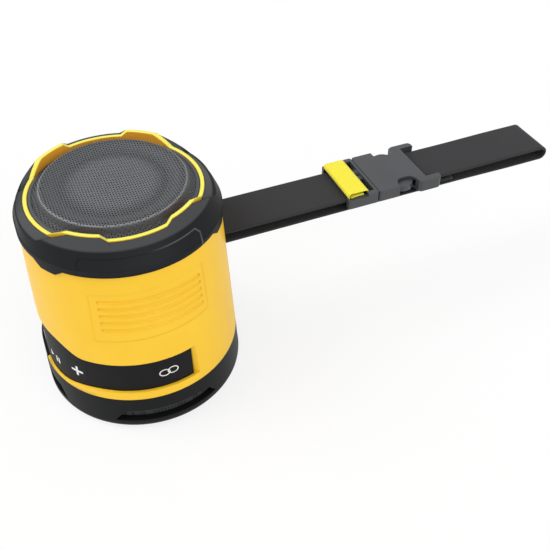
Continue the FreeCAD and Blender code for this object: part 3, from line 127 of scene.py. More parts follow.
# Distance between the round holes of the black sheet in the base
BASE_HOLE_PITCH = 1.6

# Crown, and the bumper's slope and panel, as far as their painted shade and painted highlights need them
CROWN_RADIUS = 38.1
CROWN_FLOOR = 97.0
# How far inside the crown's radius the painted shade of its inner face starts, and where it is full
CROWN_LIP = 0.9
CROWN_WALL = 1.5
# Radius of the slope's outer edge, where its painted highlight stops, and how soft that edge is to each side
SLOPE_EDGE = 41.3
SLOPE_BLUR = 0.35
# End of the bumper's panel along Y, its top, and how much its corner is clipped. The painted highlight along its
# edge reaches PANEL_LINE to each side and is full within PANEL_LINE_CORE, and it comes up from Y 0 to
# PANEL_FADE.
PANEL_END = 25.5
PANEL_TOP = 98.6
PANEL_CORNER = 2.0
PANEL_LINE = 0.45
PANEL_LINE_CORE = 0.1
PANEL_FADE = 14.0

# Strap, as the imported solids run. The visible webbing is thinner by the room that its layers need.
BAR_Y = 40.38
BAR_Z = 68.4
STRAP_INSIDE = 1.88
WEB_THICKNESS = 1.4
WEB_ROOM = 0.1
# Far fold: where the two runs start to part, where they are fully open, and its middle and radius
STRAP_PARTS = 170.0
STRAP_OPEN = 205.0
STRAP_FAR = 220.4
STRAP_FAR_BEND = 3.0
# Buckle's end bar, and how far the webbing's end runs on under it
END_BAR_Y = 152.4
END_BAR_Z = 69.45
END_FOLD = 14.0
# Buckle's adjuster bar, and the end and underside of the layer that is folded back over it
ADJUSTER_Y = 115.2
FOLD_BACK_END = 108.4
FOLD_BACK_LOW = 74.05
# Ribbon tab: half width, thickness, gap to the webbing, and radius of its open nose. It starts TAB_INSET
# short of the bar and turns as far past the fold's end, and its lower run stops TAB_LEVEL before that end.
TAB_HALF_WIDTH = 13.7
TAB_THICKNESS = 0.5
TAB_GAP = 0.06
TAB_NOSE = 1.45
TAB_INSET = 0.4
TAB_LEVEL = 1.6

# Flexible rings, in millimetres: the body that moves, inner and outer edge, where the waves start and end,
# height of the underside, number of half waves and their rise
RINGS = {
    "spider": {"body": "cone_group", "inner": 9.55, "outer": 19.6, "start": 9.55, "end": 19.6,
               "level": 79.6, "waves": 3, "rise": 0.5},
    "surround": {"body": "cone_group", "inner": 23.6, "outer": 29.8, "start": 24.4, "end": 28.2,
                 "level": 94.8, "waves": 1, "rise": 2.2},
    "passive_surround": {"body": "passive", "inner": 22.2, "outer": 31.0, "start": 23.0, "end": 28.4,
                         "level": 18.2, "waves": 1, "rise": 2.4},
}
# Thickness of the rings' sheet, number of sectors in a ring, and how fine each sector's mesh is
SHEET = 0.6
SECTORS = 12
SECTOR_ROWS = 9
RING_COLUMNS = 49

# Lights: strength, the direction they come from, width in degrees, and their share in glossy highlights
LIGHTS = {
    "key": (1.38, (-0.35, -0.9, 1.15), 40, 1.0),
    "fill": (0.98, (1.0, 0.3, 0.8), 50, 0.1),
}
LIGHT_AIM = (0.0, 0.06, 0.05)
LIGHT_DISTANCE = 1.2
WORLD_STRENGTH = 0.5
# Half the floor's width, and the share of plain white that the camera sees on it
FLOOR_HALF = 3.0
FLOOR_WHITE = 0.8

# Camera fitted to the photograph: place in metres, its own three axes, focal length and sensor in millimetres,
# and shift as a share of the frame
CAMERA_PLACE = (0.27183, -0.04196, 0.29812)
CAMERA_RIGHT = (0.39135, 0.92024, 0.00102)
CAMERA_UP = (-0.62575, 0.26529, 0.73353)
CAMERA_BACK = (0.67475, -0.28770, 0.67966)
CAMERA_LENS = 50.73
CAMERA_SENSOR = 36.0
CAMERA_SHIFT = (0.0009, -0.0007)

# Setting of a Map Range node that makes it a smooth step, 3t^2 - 2t^3 between its two ends
SMOOTH = {"interpolation_type": "SMOOTHSTEP"}
# Settings of a wave texture whose threads run along a strap and across it. Its period is 2 pi / 20 of its
# unit at scale 1.
ALONG = {"bands_direction": "X", "wave_profile": "SIN"}
ACROSS = {"bands_direction": "Y", "wave_profile": "SIN"}
WAVE_PER_MM = 2 * math.pi / 20
# Faint clouds in moulded plastic: their size in millimetres, and the change in gloss to each side
CLOUD_SIZE = 24
CLOUD_GLOSS = 0.04


def linear(code):
    """Linear colour of an sRGB hex code: the low end is divided by 12.92, the rest follows the 2.4 power."""
    parts = [int(code[i:i + 2], 16) / 255 for i in (1, 3, 5)]
    return tuple(c / 12.92 if c <= 0.04045 else ((c + 0.055) / 1.055) ** 2.4 for c in parts) + (1.0,)


def add(tree, kind, settings=None, **inputs):
    """Adds a node: settings are its own properties, and inputs go by their sockets' names, or by place as
    _0, _1. An input is a value, a node whose first output is linked, or a (node, output) pair."""
    node = tree.nodes.new(kind)
    for name, value in (settings or {}).items():
        setattr(node, name, value)
    for name, value in inputs.items():
        socket = node.inputs[int(name[1:])] if name[0] == "_" else node.inputs[name.replace("_", " ")]
        if isinstance(value, bpy.types.Node):
            tree.links.new(value.outputs[0], socket)
        elif isinstance(value, tuple) and isinstance(value[0], bpy.types.Node):
            tree.links.new(value[0].outputs[value[1]], socket)
        else:
            socket.default_value = value
    return node


def material(name, colour, roughness, metallic=0.0, **sockets):
    """New Principled material with plain values; patterns are linked to it afterwards."""
    made = bpy.data.materials.new(name)
    made.use_nodes = True
    tree = made.node_tree
    shader = tree.nodes["Principled BSDF"]
    shader.inputs["Base Color"].default_value = linear(colour)
    shader.inputs["Roughness"].default_value = roughness
    shader.inputs["Metallic"].default_value = metallic
    for key, value in sockets.items():
        shader.inputs[key.replace("_", " ")].default_value = value
    made.diffuse_color = linear(colour)
    return made


def tint(made, factor, low, high, span=(0.3, 0.7)):
    """Links the base colour to a ramp between two hex colours; span holds where the ramp starts and ends."""
    tree = made.node_tree
    ramp = add(tree, "ShaderNodeValToRGB", Fac=factor)
    ramp.color_ramp.elements[0].position = span[0]
    ramp.color_ramp.elements[1].position = span[1]
    ramp.color_ramp.elements[0].color = linear(low)
    ramp.color_ramp.elements[1].color = linear(high)
    tree.links.new(ramp.outputs["Color"], tree.nodes["Principled BSDF"].inputs["Base Color"])
    return ramp


def emboss(made, height, distance, edge=0.0):
    """Links a height to the shader's normal through a bump node; distance is in metres.
    An edge width, in metres, lets moulded edges catch a narrow light as if they were rounded by it."""
    tree = made.node_tree
    bump = add(tree, "ShaderNodeBump", Height=height, Distance=distance)
    if edge:
        rounded = add(tree, "ShaderNodeBevel", {"samples": 6}, Radius=edge)
        tree.links.new(rounded.outputs["Normal"], bump.inputs["Normal"])
    tree.links.new(bump.outputs["Normal"], tree.nodes["Principled BSDF"].inputs["Normal"])
    return bump


def roughness_range(made, factor, low, high):
    """Links the roughness to a factor: low at 0 and high at 1."""
    tree = made.node_tree
    rough = add(tree, "ShaderNodeMapRange", Value=factor, To_Min=low, To_Max=high)
    tree.links.new(rough.outputs["Result"], tree.nodes["Principled BSDF"].inputs["Roughness"])


def moulded(name, low, high, roughness, grain_mm, depth_mm, edge_mm=0.0, **sockets):
    """Moulded plastic or rubber, or another evenly grained surface: the grain in the bump, and a faint cloud in
    colour and gloss. Spark-eroded grain is about 0.1 mm, too fine to show, so it is drawn some times coarser."""
    made = material(name, low, roughness, **sockets)
    tree = made.node_tree
    where = add(tree, "ShaderNodeTexCoord"), "Object"
    cloud = add(tree, "ShaderNodeTexNoise", Vector=where, Scale=1 / (CLOUD_SIZE * MM), Detail=3.0)
    tint(made, (cloud, "Fac"), low, high)
    roughness_range(made, (cloud, "Fac"), roughness - CLOUD_GLOSS, roughness + CLOUD_GLOSS)
    grain = add(tree, "ShaderNodeTexNoise", Vector=where, Scale=1 / (grain_mm * MM), Detail=2.0)
    emboss(made, (grain, "Fac"), depth_mm * MM, edge_mm * MM)
    return made


def level_radius(made):
    """Link to a point's distance from the upright axis, and the node that gives its place as X, Y and Z."""
    tree = made.node_tree
    where = add(tree, "ShaderNodeSeparateXYZ", Vector=(add(tree, "ShaderNodeTexCoord"), "Object"))
    flat = add(tree, "ShaderNodeCombineXYZ", X=(where, "X"), Y=(where, "Y"))
    radius = add(tree, "ShaderNodeVectorMath", {"operation": "LENGTH"}, _0=(flat, "Vector"))
    return (radius, "Value"), where


def facing_axes(tree):
    """Node that splits the surface's direction into X, Y and Z."""
    return add(tree, "ShaderNodeSeparateXYZ", Vector=(add(tree, "ShaderNodeNewGeometry"), "Normal"))


def relay(made, factor, code):
    """Lays another hex colour over the base colour by a factor. A colour mix takes its colours in sockets 6
    and 7 and gives its result in 2."""
    tree = made.node_tree
    base = tree.nodes["Principled BSDF"].inputs["Base Color"]
    source = base.links[0].from_socket
    mix = add(tree, "ShaderNodeMix", {"data_type": "RGBA"}, _0=factor, _7=linear(code))
    tree.links.new(source, mix.inputs[6])
    tree.links.new(mix.outputs[2], base)


def case_plastic(look):
    """Moulded ABS, spark-textured: warm even yellow. The crown's upper edge has a painted highlight, a paler
    yellow on its faces that look up, and the crown's inner face has painted shade, a deeper orange."""
    made = moulded("moulded_abs_yellow", look.case_colour_low, look.case_colour_high, 0.42, 0.5, 0.012, 0.8,
                   Specular_IOR_Level=0.35)
    tree = made.node_tree
    radius, where = level_radius(made)
    # Painted shade: inside the crown's radius and above its floor, the inner face turns a deeper orange
    within = add(tree, "ShaderNodeMapRange", SMOOTH, Value=radius,
                 From_Min=(CROWN_RADIUS - CROWN_LIP) * MM, From_Max=(CROWN_RADIUS - CROWN_WALL) * MM)
    above = add(tree, "ShaderNodeMapRange", SMOOTH, Value=(where, "Z"),
                From_Min=(CROWN_FLOOR - 1) * MM, From_Max=CROWN_FLOOR * MM)
    inside = add(tree, "ShaderNodeMath", {"operation": "MULTIPLY"}, _0=within, _1=above)
    relay(made, inside, look.crown_inner_shade)
    # Painted highlight: faces of the crown's top that look up turn a paler yellow
    up = add(tree, "ShaderNodeMapRange", SMOOTH, Value=(facing_axes(tree), "Z"), From_Min=0.35, From_Max=0.7)
    edge = add(tree, "ShaderNodeMath", {"operation": "MULTIPLY"}, _0=up, _1=above)
    relay(made, edge, look.crown_top_highlight)
    return made


def grille_steel(look):
    """Powder-coated steel sheet: plain mid grey on the dome, with painted shade in the valley and in the channel
    round it, and a painted highlight on the raised edge."""
    made = moulded("powder_coated_steel", look.mesh_colour, look.mesh_colour, 0.5, 0.4, 0.012,
                   Specular_IOR_Level=0.35)
    radius, _ = level_radius(made)
    # Painted shade and highlight by radius: plain grey on the dome, painted shade in the valley, a painted
    # highlight on the raised edge and painted shade in the channel
    share = add(made.node_tree, "ShaderNodeMath", {"operation": "DIVIDE"}, _0=radius, _1=GRILLE_SPAN * MM)
    ramp = tint(made, share, look.mesh_colour, look.mesh_channel_shade, (0.0, 1.0))
    for reach, grey in GRILLE_PAINTED_SHADING:
        ramp.color_ramp.elements.new(reach / GRILLE_SPAN).color = linear(getattr(look, grey))
    return made


def base_mesh_steel():
    """Black perforated sheet behind the base's slots: its round holes show as darker dots."""
    made = material("perforated_steel_black", "#232426", 0.55)
    tree = made.node_tree
    dots = add(tree, "ShaderNodeTexVoronoi", Vector=(add(tree, "ShaderNodeTexCoord"), "Object"),
               Scale=1 / (BASE_HOLE_PITCH * MM), Randomness=0.0)
    tint(made, (dots, "Distance"), "#050505", "#3a3b3d", (0.3, 0.42))
    emboss(made, (dots, "Distance"), 0.3 * MM)
    return made


def panel_highlight_mask(tree, where):
    """Node that gives 1 along the edge of the bumper's panel and 0 elsewhere, the mask of its painted highlight.
    The edge lies where the greatest of three distances is 0: to the panel's end, to its top and to its clipped
    corner."""
    end = add(tree, "ShaderNodeMath", {"operation": "SUBTRACT"}, _0=(where, "Y"), _1=PANEL_END * MM)
    top = add(tree, "ShaderNodeMath", {"operation": "SUBTRACT"}, _0=(where, "Z"), _1=PANEL_TOP * MM)
    both = add(tree, "ShaderNodeMath", {"operation": "ADD"}, _0=end, _1=top)
    diagonal = math.sqrt(0.5)
    corner = add(tree, "ShaderNodeMath", {"operation": "MULTIPLY_ADD"}, _0=both, _1=diagonal,
                 _2=PANEL_CORNER * diagonal * MM)
    side = add(tree, "ShaderNodeMath", {"operation": "MAXIMUM"}, _0=end, _1=top)
    reach = add(tree, "ShaderNodeMath", {"operation": "MAXIMUM"}, _0=side, _1=corner)
    away = add(tree, "ShaderNodeMath", {"operation": "ABSOLUTE"}, _0=reach)
    line = add(tree, "ShaderNodeMapRange", SMOOTH, Value=away, From_Min=PANEL_LINE * MM,
               From_Max=PANEL_LINE_CORE * MM)
    behind = add(tree, "ShaderNodeMapRange", SMOOTH, Value=(where, "Y"), From_Min=0.0,
                 From_Max=PANEL_FADE * MM)
    return add(tree, "ShaderNodeMath", {"operation": "MULTIPLY"}, _0=line, _1=behind)


def bumper_rubber(look):
    """Overmoulded TPE: charcoal, duller than the ABS, with a slightly deeper grain. The slope next to the
    crown has a painted highlight, stronger toward the right, so that it looks greyer than the face below it. The
    panel's edge has a painted highlight too."""
    made = moulded("overmoulded_tpe_charcoal", look.bumper_colour, look.bumper_colour, 0.5, 0.45, 0.02, 0.35,
                   Specular_IOR_Level=0.13)
    tree = made.node_tree
    radius, where = level_radius(made)
    facing = facing_axes(tree)
    # Painted highlight on the slope next to the crown: faces that look up and toward X, inside the slope's edge
    sloped = add(tree, "ShaderNodeMapRange", SMOOTH, Value=(facing, "Z"), From_Min=0.25, From_Max=0.6)
    right = add(tree, "ShaderNodeMapRange", SMOOTH, Value=(facing, "X"), From_Min=-0.25, From_Max=0.1)
    lit_slope = add(tree, "ShaderNodeMath", {"operation": "MULTIPLY"}, _0=sloped, _1=right)
    near = add(tree, "ShaderNodeMapRange", SMOOTH, Value=radius, From_Min=(SLOPE_EDGE + SLOPE_BLUR) * MM,
               From_Max=(SLOPE_EDGE - SLOPE_BLUR) * MM)
    slope_highlight = add(tree, "ShaderNodeMath", {"operation": "MULTIPLY"}, _0=lit_slope, _1=near)
    relay(made, slope_highlight, look.bumper_slope_highlight)
    # Painted highlight along the panel's edge, fading in from Y 0 to PANEL_FADE
    relay(made, panel_highlight_mask(tree, where), look.panel_edge_highlight)
    return made


def make_materials(look):
    """Every finish of the speaker, by a short name."""
    made = {}
    made["yellow_abs"] = case_plastic(look)
    made["bumper_tpe"] = bumper_rubber(look)
    # Black ABS of the base: near black, a little glossier than the bumper
    made["black_abs"] = moulded("moulded_abs_black", "#111213", "#151617", 0.46, 0.5, 0.015, 0.3,
                                Specular_IOR_Level=0.11)
    # Silicone keypad: matt near-black
    made["key_rubber"] = moulded("silicone_black", "#131415", "#171819", 0.52, 0.6, 0.01,
                                 Specular_IOR_Level=0.12)
    # Rubber pad underneath: black and dusty
    made["foot_rubber"] = moulded("moulded_rubber_black", "#191919", "#222222", 0.75, 0.5, 0.03)
    # Acetal of the buckle: slate grey, smooth, with a satin shine
    made["buckle_pom"] = moulded("moulded_acetal_grey", look.buckle_colour, look.buckle_light, 0.36, 0.8,
                                 0.006, 0.4, Specular_IOR_Level=0.4)
    # Hidden mouldings, foam and rubber: plain and dull
    made["grey_abs"] = moulded("moulded_abs_grey", "#6f7072", "#797a7c", 0.5, 0.6, 0.01)
    made["roll_rubber"] = moulded("butyl_rubber_black", "#111112", "#181819", 0.6, 0.7, 0.008)
    made["gasket_foam"] = moulded("closed_cell_foam_black", "#161616", "#1e1e1e", 0.85, 0.35, 0.05)
    made["ferrite"] = moulded("sintered_ferrite", "#2a2a2c", "#343436", 0.7, 0.3, 0.02)
    made["mesh_steel"] = grille_steel(look)
    made["black_mesh"] = base_mesh_steel()
    # Acoustic cloth under the holes: black, no shine
    made["cloth"] = moulded("acoustic_cloth_black", "#0c0c0d", "#121213", 0.95, 0.35, 0.03)
    # Printed signs: white pad-print ink
    made["ink"] = moulded("pad_print_white", "#e9e9e7", "#f3f3f1", 0.5, 0.5, 0.003)
    made["cone_paper"] = pulp_material()
    # Phenolic cloth of the spider: amber and stiff, without shine
    made["spider_cloth"] = moulded("impregnated_cloth_amber", "#a8894a", "#b99a5a", 0.8, 0.6, 0.05)
    # Shrink film round the cells: smooth blue with a gloss
    made["cell_wrap"] = material("shrink_wrap_blue", "#1f4a86", 0.3)
    made["circuit_board"] = board_material()
    # Bare metals: plated and stainless steel are pale, aluminium duller, and enamelled copper red
    for key, name, code, rough in (
            ("screw_steel", "zinc_plated_steel", "#b9bcc0", 0.34),
            ("driver_steel", "plated_steel_sheet", "#8a8c90", 0.38),
            ("socket_steel", "stamped_stainless", "#bfc0c2", 0.3),
            ("passive_metal", "plain_aluminium_sheet", "#a7a9ac", 0.4),
            ("coil_copper", "enamelled_copper_wire", "#a8602f", 0.35)):
        made[key] = brushed_metal(name, code, rough)
    made["webbing"] = webbing_material(look)
    made["tab_ribbon"] = ribbon_material(look)
    return made


def brushed_metal(name, code, roughness):
    """Sheet or turned metal: long fine scratches in gloss and bump."""
    made = material(name, code, roughness, metallic=1.0)
    tree = made.node_tree
    stretch = add(tree, "ShaderNodeMapping", Vector=(add(tree, "ShaderNodeTexCoord"), "Object"),
                  Scale=(1 / (6 * MM), 1 / (0.3 * MM), 1 / (0.3 * MM)))
    scratch = add(tree, "ShaderNodeTexNoise", Vector=(stretch, "Vector"), Scale=1.0, Detail=3.0)
    roughness_range(made, (scratch, "Fac"), roughness - 0.08, roughness + 0.1)
    emboss(made, (scratch, "Fac"), 0.004 * MM)
    return made


def pulp_material():
    """Pressed paper cone: fibres show as a fine mottled relief."""
    made = material("pressed_paper_black", "#1b1b1c", 0.8)
    tree = made.node_tree
    fibres = add(tree, "ShaderNodeTexNoise", Vector=(add(tree, "ShaderNodeTexCoord"), "Object"),
                 Scale=1 / (0.8 * MM), Detail=6.0, Distortion=1.5)
    tint(made, (fibres, "Fac"), "#151516", "#242425")
    emboss(made, (fibres, "Fac"), 0.06 * MM)
    return made


def board_material():
    """Glass-fibre board with green mask: faint tracks 1.5 mm apart one way and 3 mm apart the other."""
    made = material("solder_masked_board", "#0f3d22", 0.3)
    tree = made.node_tree
    tracks = add(tree, "ShaderNodeTexBrick", Vector=(add(tree, "ShaderNodeTexCoord"), "Object"),
                 Scale=1 / (6 * MM), Color1=linear("#0f3d22"), Color2=linear("#155230"),
                 Mortar=linear("#1c6b3f"), Mortar_Size=0.04)
    tree.links.new(tracks.outputs["Color"], tree.nodes["Principled BSDF"].inputs["Base Color"])
    return made


def webbing_material(look):
    """Woven nylon webbing: fine warp cords run along the strap 0.9 mm apart, and a weft crosses them.
    The cloth is smooth and dull, and only its cords catch a soft sheen."""
    made = material("woven_nylon_webbing", look.webbing_colour, 0.7, Sheen_Weight=0.12, Sheen_Roughness=0.5,
                    Specular_IOR_Level=0.15)
    tree = made.node_tree
    flat = add(tree, "ShaderNodeUVMap", {"uv_map": "mm"})
    cords = add(tree, "ShaderNodeTexWave", ALONG, Vector=flat, Scale=WAVE_PER_MM / 0.9, Distortion=0.3,
                Detail=1.0)
    weft = add(tree, "ShaderNodeTexWave", ACROSS, Vector=flat, Scale=WAVE_PER_MM / 1.1, Distortion=0.6,
               Detail=1.0)
    weave = add(tree, "ShaderNodeMath", {"operation": "MULTIPLY"}, _0=(cords, "Fac"), _1=(weft, "Fac"))
    tint(made, weave, look.webbing_colour, look.webbing_light, (0.0, 0.8))
    emboss(made, weave, 0.025 * MM)
    return made


def ribbon_material(look):
    """Woven polyester ribbon: bright yellow with a fine cross rib 0.8 mm apart."""
    made = material("woven_ribbon_yellow", look.ribbon_colour, 0.55, Sheen_Weight=0.1, Specular_IOR_Level=0.3)
    tree = made.node_tree
    flat = add(tree, "ShaderNodeUVMap", {"uv_map": "mm"})
    ribs = add(tree, "ShaderNodeTexWave", ACROSS, Vector=flat, Scale=WAVE_PER_MM / 0.8, Distortion=0.2,
               Detail=1.0)
    tint(made, (ribs, "Fac"), look.ribbon_low, look.ribbon_colour, (0.0, 0.8))
    emboss(made, (ribs, "Fac"), 0.04 * MM)
    return made


def outline_distance(angle, z, inset):
    """Distance from the axis to the case's outline at angles (degrees from the front) and heights, in
    millimetres. A ray meets the round side at along + sqrt(radius^2 - |centre|^2 + along^2), where along is
    the centre's part on the ray, or else one of the two flats that join the sides."""
    turn = np.radians(np.abs(angle))
    out, ahead = np.sin(turn), -np.cos(turn)
    radius = SIDE_RADIUS - SIDE_TAPER * z - inset
    centre_x = SIDE_OUT - SIDE_OUT_TAPER * z
    centre_y = SIDE_BACK - SIDE_BACK_TAPER * z
    along = centre_x * out + centre_y * ahead
    side = along + np.sqrt(radius ** 2 - centre_x ** 2 - centre_y ** 2 + along ** 2)
    flat = np.where(ahead < 0, radius - centre_y, radius + centre_y) / np.maximum(np.abs(ahead), 0.1)
    return np.where(side * out > centre_x, side, flat)


def case_points(angle, z, inset):
    """Points on the case's form for arrays of angles and heights, in metres."""
    reach = outline_distance(angle, z, inset)
    turn = np.radians(angle)
    return np.stack([reach * np.sin(turn), -reach * np.cos(turn), z + 0 * turn], -1) * MM


def mesh_object(name, points, faces, uv=None, smooth=True):
    """Object at the origin from an array of points in metres and a list or array of faces; uv is one pair per
    point, in millimetres."""
    data = bpy.data.meshes.new(name)
    data.from_pydata(points.reshape(-1, 3).tolist(), [], [list(map(int, f)) for f in faces])
    data.validate()
    data.update()
    if uv is not None:
        corner = np.zeros(len(data.loops), np.int32)
        data.loops.foreach_get("vertex_index", corner)
        layer = data.uv_layers.new(name="mm")
        layer.data.foreach_set("uv", uv.reshape(-1, 2)[corner].astype(np.float32).ravel())
    data.polygons.foreach_set("use_smooth", np.full(len(data.polygons), smooth))
    made = bpy.data.objects.new(name, data)
    bpy.context.scene.collection.objects.link(made)
    return made


def grid_faces(rows, columns, close_columns=False):
    """Quads of a grid numbered row by row; closing joins the last column to the first."""
    r = np.arange(rows - 1)
    c = np.arange(columns if close_columns else columns - 1)
    a, b = np.meshgrid(r, c, indexing="ij")
    b2 = (b + 1) % columns
    corners = [a * columns + b, (a + 1) * columns + b, (a + 1) * columns + b2, a * columns + b2]
    return np.stack(corners, -1).reshape(-1, 4)


def settle(piece, body, slot, finish, *stands_for):
    """Gives a finished piece its material and body, and hides the nodes that it stands for. The slot is not
    used.
    """
    piece.data.materials.clear()
    piece.data.materials.append(finish)
    if body:
        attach(piece, body)
    if stands_for:
        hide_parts(*stands_for)
    return piece


def dish_height(radius):
    """Height of the dish's top at a radius: straight stretches between its turning points, in millimetres."""
    r, z = np.array(DISH).T
    return np.interp(radius, r, z)


def perforated_dish(pitch, share):
    """A sheet with round holes in a triangular pattern, bent to the dish.
    Each hole has a ring of six corners on its edge and six on the border that it shares with its neighbours:
    corner k stands at 30 + 60 k degrees round the hole's centre, at the hole's radius or at pitch / sqrt(3).
    Holes get narrower where the dish is steep, as pressing does to them."""
    count = int(HOLED_EDGE / pitch) + 3
    i, j = np.meshgrid(np.arange(-count, count + 1), np.arange(-count, count + 1), indexing="ij")
    centre = np.stack([(i + j / 2) * pitch, j * pitch * math.sqrt(3) / 2], -1).reshape(-1, 2)
    centre = centre[np.hypot(*centre.T) < HOLED_EDGE]
    turn = np.radians(30 + 60 * np.arange(6))
    ring = np.stack([np.cos(turn), np.sin(turn)], -1)
    border = centre[:, None] + ring * pitch / math.sqrt(3)
    out = np.hypot(*centre.T)
    slope = np.abs(dish_height(out + pitch / 2) - dish_height(out - pitch / 2)) / pitch
    width = pitch * share / (1 + HOLE_NARROWING * slope)
    hole = centre[:, None] + ring * width[:, None, None] / 2 * HOLE_CORNER

    # Border corners of neighbours fall together, and get one point each
    keys = np.round(border.reshape(-1, 2) / (pitch * 0.1)).astype(np.int64)
    unique, where = np.unique(keys, axis=0, return_inverse=True)
    where = where.reshape(-1)
    shared = np.zeros((len(unique), 2))
    shared[where] = border.reshape(-1, 2)
    edge = np.hypot(*shared.T)
    shared *= np.minimum(1, DISH_EDGE / np.maximum(edge, 1e-6))[:, None]
    top_border = np.column_stack([shared, dish_height(np.hypot(*shared.T))])
    flat_hole = hole.reshape(-1, 2)
    level = dish_height(np.hypot(*flat_hole.T))
    top_hole = np.column_stack([flat_hole, level - HOLE_DIMPLE])
    low_hole = np.column_stack([flat_hole, level - HOLE_DEPTH])
    points = np.concatenate([top_border, top_hole, low_hole]) * MM

    # Quads between border and hole on top, and down the hole's wall: n border points come before m of holes
    n, m = len(unique), len(flat_hole)
    k = np.arange(m).reshape(-1, 6)
    k2 = np.roll(k, -1, axis=1)
    w = where.reshape(-1, 6)
    w2 = np.roll(w, -1, axis=1)
    plate = np.stack([w, w2, k2 + n, k + n], -1).reshape(-1, 4)
    wall = np.stack([k + n, k2 + n, k2 + n + m, k + n + m], -1).reshape(-1, 4)
    return points, np.concatenate([plate, wall])


def spun(profile, segments=128):
    """Surface of revolution: each (radius, height) of the profile is carried round the Z axis."""
    profile = np.array(profile, float)
    turn = np.linspace(0, 2 * np.pi, segments, endpoint=False)
    r = profile[:, 0][:, None]
    points = np.stack([r * np.cos(turn), r * np.sin(turn), profile[:, 1][:, None] + 0 * turn], -1)
    return points * MM, grid_faces(len(profile), segments, close_columns=True)[:, ::-1]


def ring_sector(ring, first, last):
    """One sector of a thin flexible ring: flat lips, and between them half waves that rise by 4u(1 - u) of
    the rise and turn over from one to the next."""
    reach = np.linspace(ring["inner"], ring["outer"], RING_COLUMNS)
    along = np.clip((reach - ring["start"]) / (ring["end"] - ring["start"]), 0, 1) * ring["waves"]
    wave = np.minimum(np.floor(along), ring["waves"] - 1)
    part = along - wave
    lift = ring["rise"] * 4 * part * (1 - part) * np.where(wave % 2 == 0, 1, -1)
    radius = np.concatenate([reach, reach[::-1]])
    height = np.concatenate([ring["level"] + SHEET + lift, (ring["level"] + lift)[::-1]])
    turn = np.linspace(first, last, SECTOR_ROWS)[:, None]
    points = np.stack([radius * np.cos(turn), radius * np.sin(turn), height + 0 * turn], -1) * MM
    return points, grid_faces(SECTOR_ROWS, len(radius), close_columns=True)[:, ::-1]


def unit(vectors):
    """The same vectors, each one long."""
    return vectors / np.maximum(np.linalg.norm(vectors, axis=1, keepdims=True), 1e-9)


def stroke(path, width, closed=False):
    """Outline strip of a drawn line in the plane: each point gets one point to each side, half the width away.
    Side directions follow the line's local direction, and corners are mitred up to twice the width."""
    path = np.array(path, float)
    ahead = np.roll(path, -1, axis=0) - path
    before = path - np.roll(path, 1, axis=0)
    if not closed:
        ahead[-1] = before[-1]
        before[0] = ahead[0]
    normal_a = unit(ahead)[:, ::-1] * (-1, 1)
    normal_b = unit(before)[:, ::-1] * (-1, 1)
    mean = unit(normal_a + normal_b)
    stretch = 1 / np.clip((mean * normal_a).sum(1), 0.5, 1)
    side = mean * stretch[:, None] * width / 2
    return path + side, path - side


def printed_strip(angle, z, lefts, rights, closed, lift):
    """A raised printed line on the case's form: two edges and a top, curved with the key's face."""
    rows = []
    for level in (0.0, lift):
        for edge in (lefts, rights):
            reach = outline_distance(np.full(len(edge), angle), np.full(len(edge), z), BAND_RECESS)
            turn = angle + np.degrees(edge[:, 0] / reach)
            rows.append(case_points(turn, z + edge[:, 1], BAND_RECESS - level))
    low_a, low_b, high_a, high_b = rows
    points = np.stack([low_a, high_a, high_b, low_b])
    return points, grid_faces(4, len(lefts), close_columns=closed)


def lip_surface():
    """The yellow lip under the keypad band, on both sides of the front: its outer face comes out of the case's
    form and follows it from the base up to the band's lower edge, and its top goes back to the band."""
    forward, height = np.array(LIP_EDGE).T
    all_points, all_faces, start = [], [], 0
    for side, end, taper in LIP_SIDES:
        turn = np.linspace(LIP_START, end, LIP_COLUMNS)
        angle = side * turn
        # The edge's height depends on how far forward it is, and that on its height: a few rounds settle both
        top = np.full(LIP_COLUMNS, LIP_GUESS)
        for _ in range(4):
            ahead = outline_distance(angle, top, 0.0) * np.cos(np.radians(angle))
            top = np.interp(ahead, -forward, height)
        low = np.full(LIP_COLUMNS, BASE_TOP - LIP_FOOT)
        top = BASE_TOP + (top - BASE_TOP) * np.clip((LIP_FRONT - ahead) / taper + (side > 0), 0, 1)
        out = np.interp(turn, LIP_EMERGES, LIP_OUT)
        back = BAND_RECESS + LIP_BACK
        shoulder = np.maximum(top - LIP_BEVEL, low)
        section = (low, back), (low, out), (shoulder, out), (top, out + LIP_BEVEL), (top, back)
        rows = np.stack([case_points(angle, level, inset) for level, inset in section])
        faces = grid_faces(len(rows), LIP_COLUMNS)
        all_points.append(rows.reshape(-1, 3))
        all_faces.append((faces if side > 0 else faces[:, ::-1]) + start)
        start += rows.shape[0] * rows.shape[1]
    return np.concatenate(all_points), np.concatenate(all_faces)


def circle_path(cx, cy, radius, start=0, end=360, count=28):
    """Points on an arc in the plane, in degrees; a full circle leaves out its doubled last point."""
    turn = np.radians(np.linspace(start, end, count, endpoint=abs(end - start) < 359.9))
    return np.stack([cx + radius * np.cos(turn), cy + radius * np.sin(turn)], -1)


def bar(x0, y0, x1, y1):
    """Straight line of a sign, with points close enough to follow a curved face."""
    length = math.hypot(x1 - x0, y1 - y0)
    at = np.append(np.arange(0, length, SIGN_STEP), length) / length
    return np.stack([x0 + (x1 - x0) * at, y0 + (y1 - y0) * at], -1)


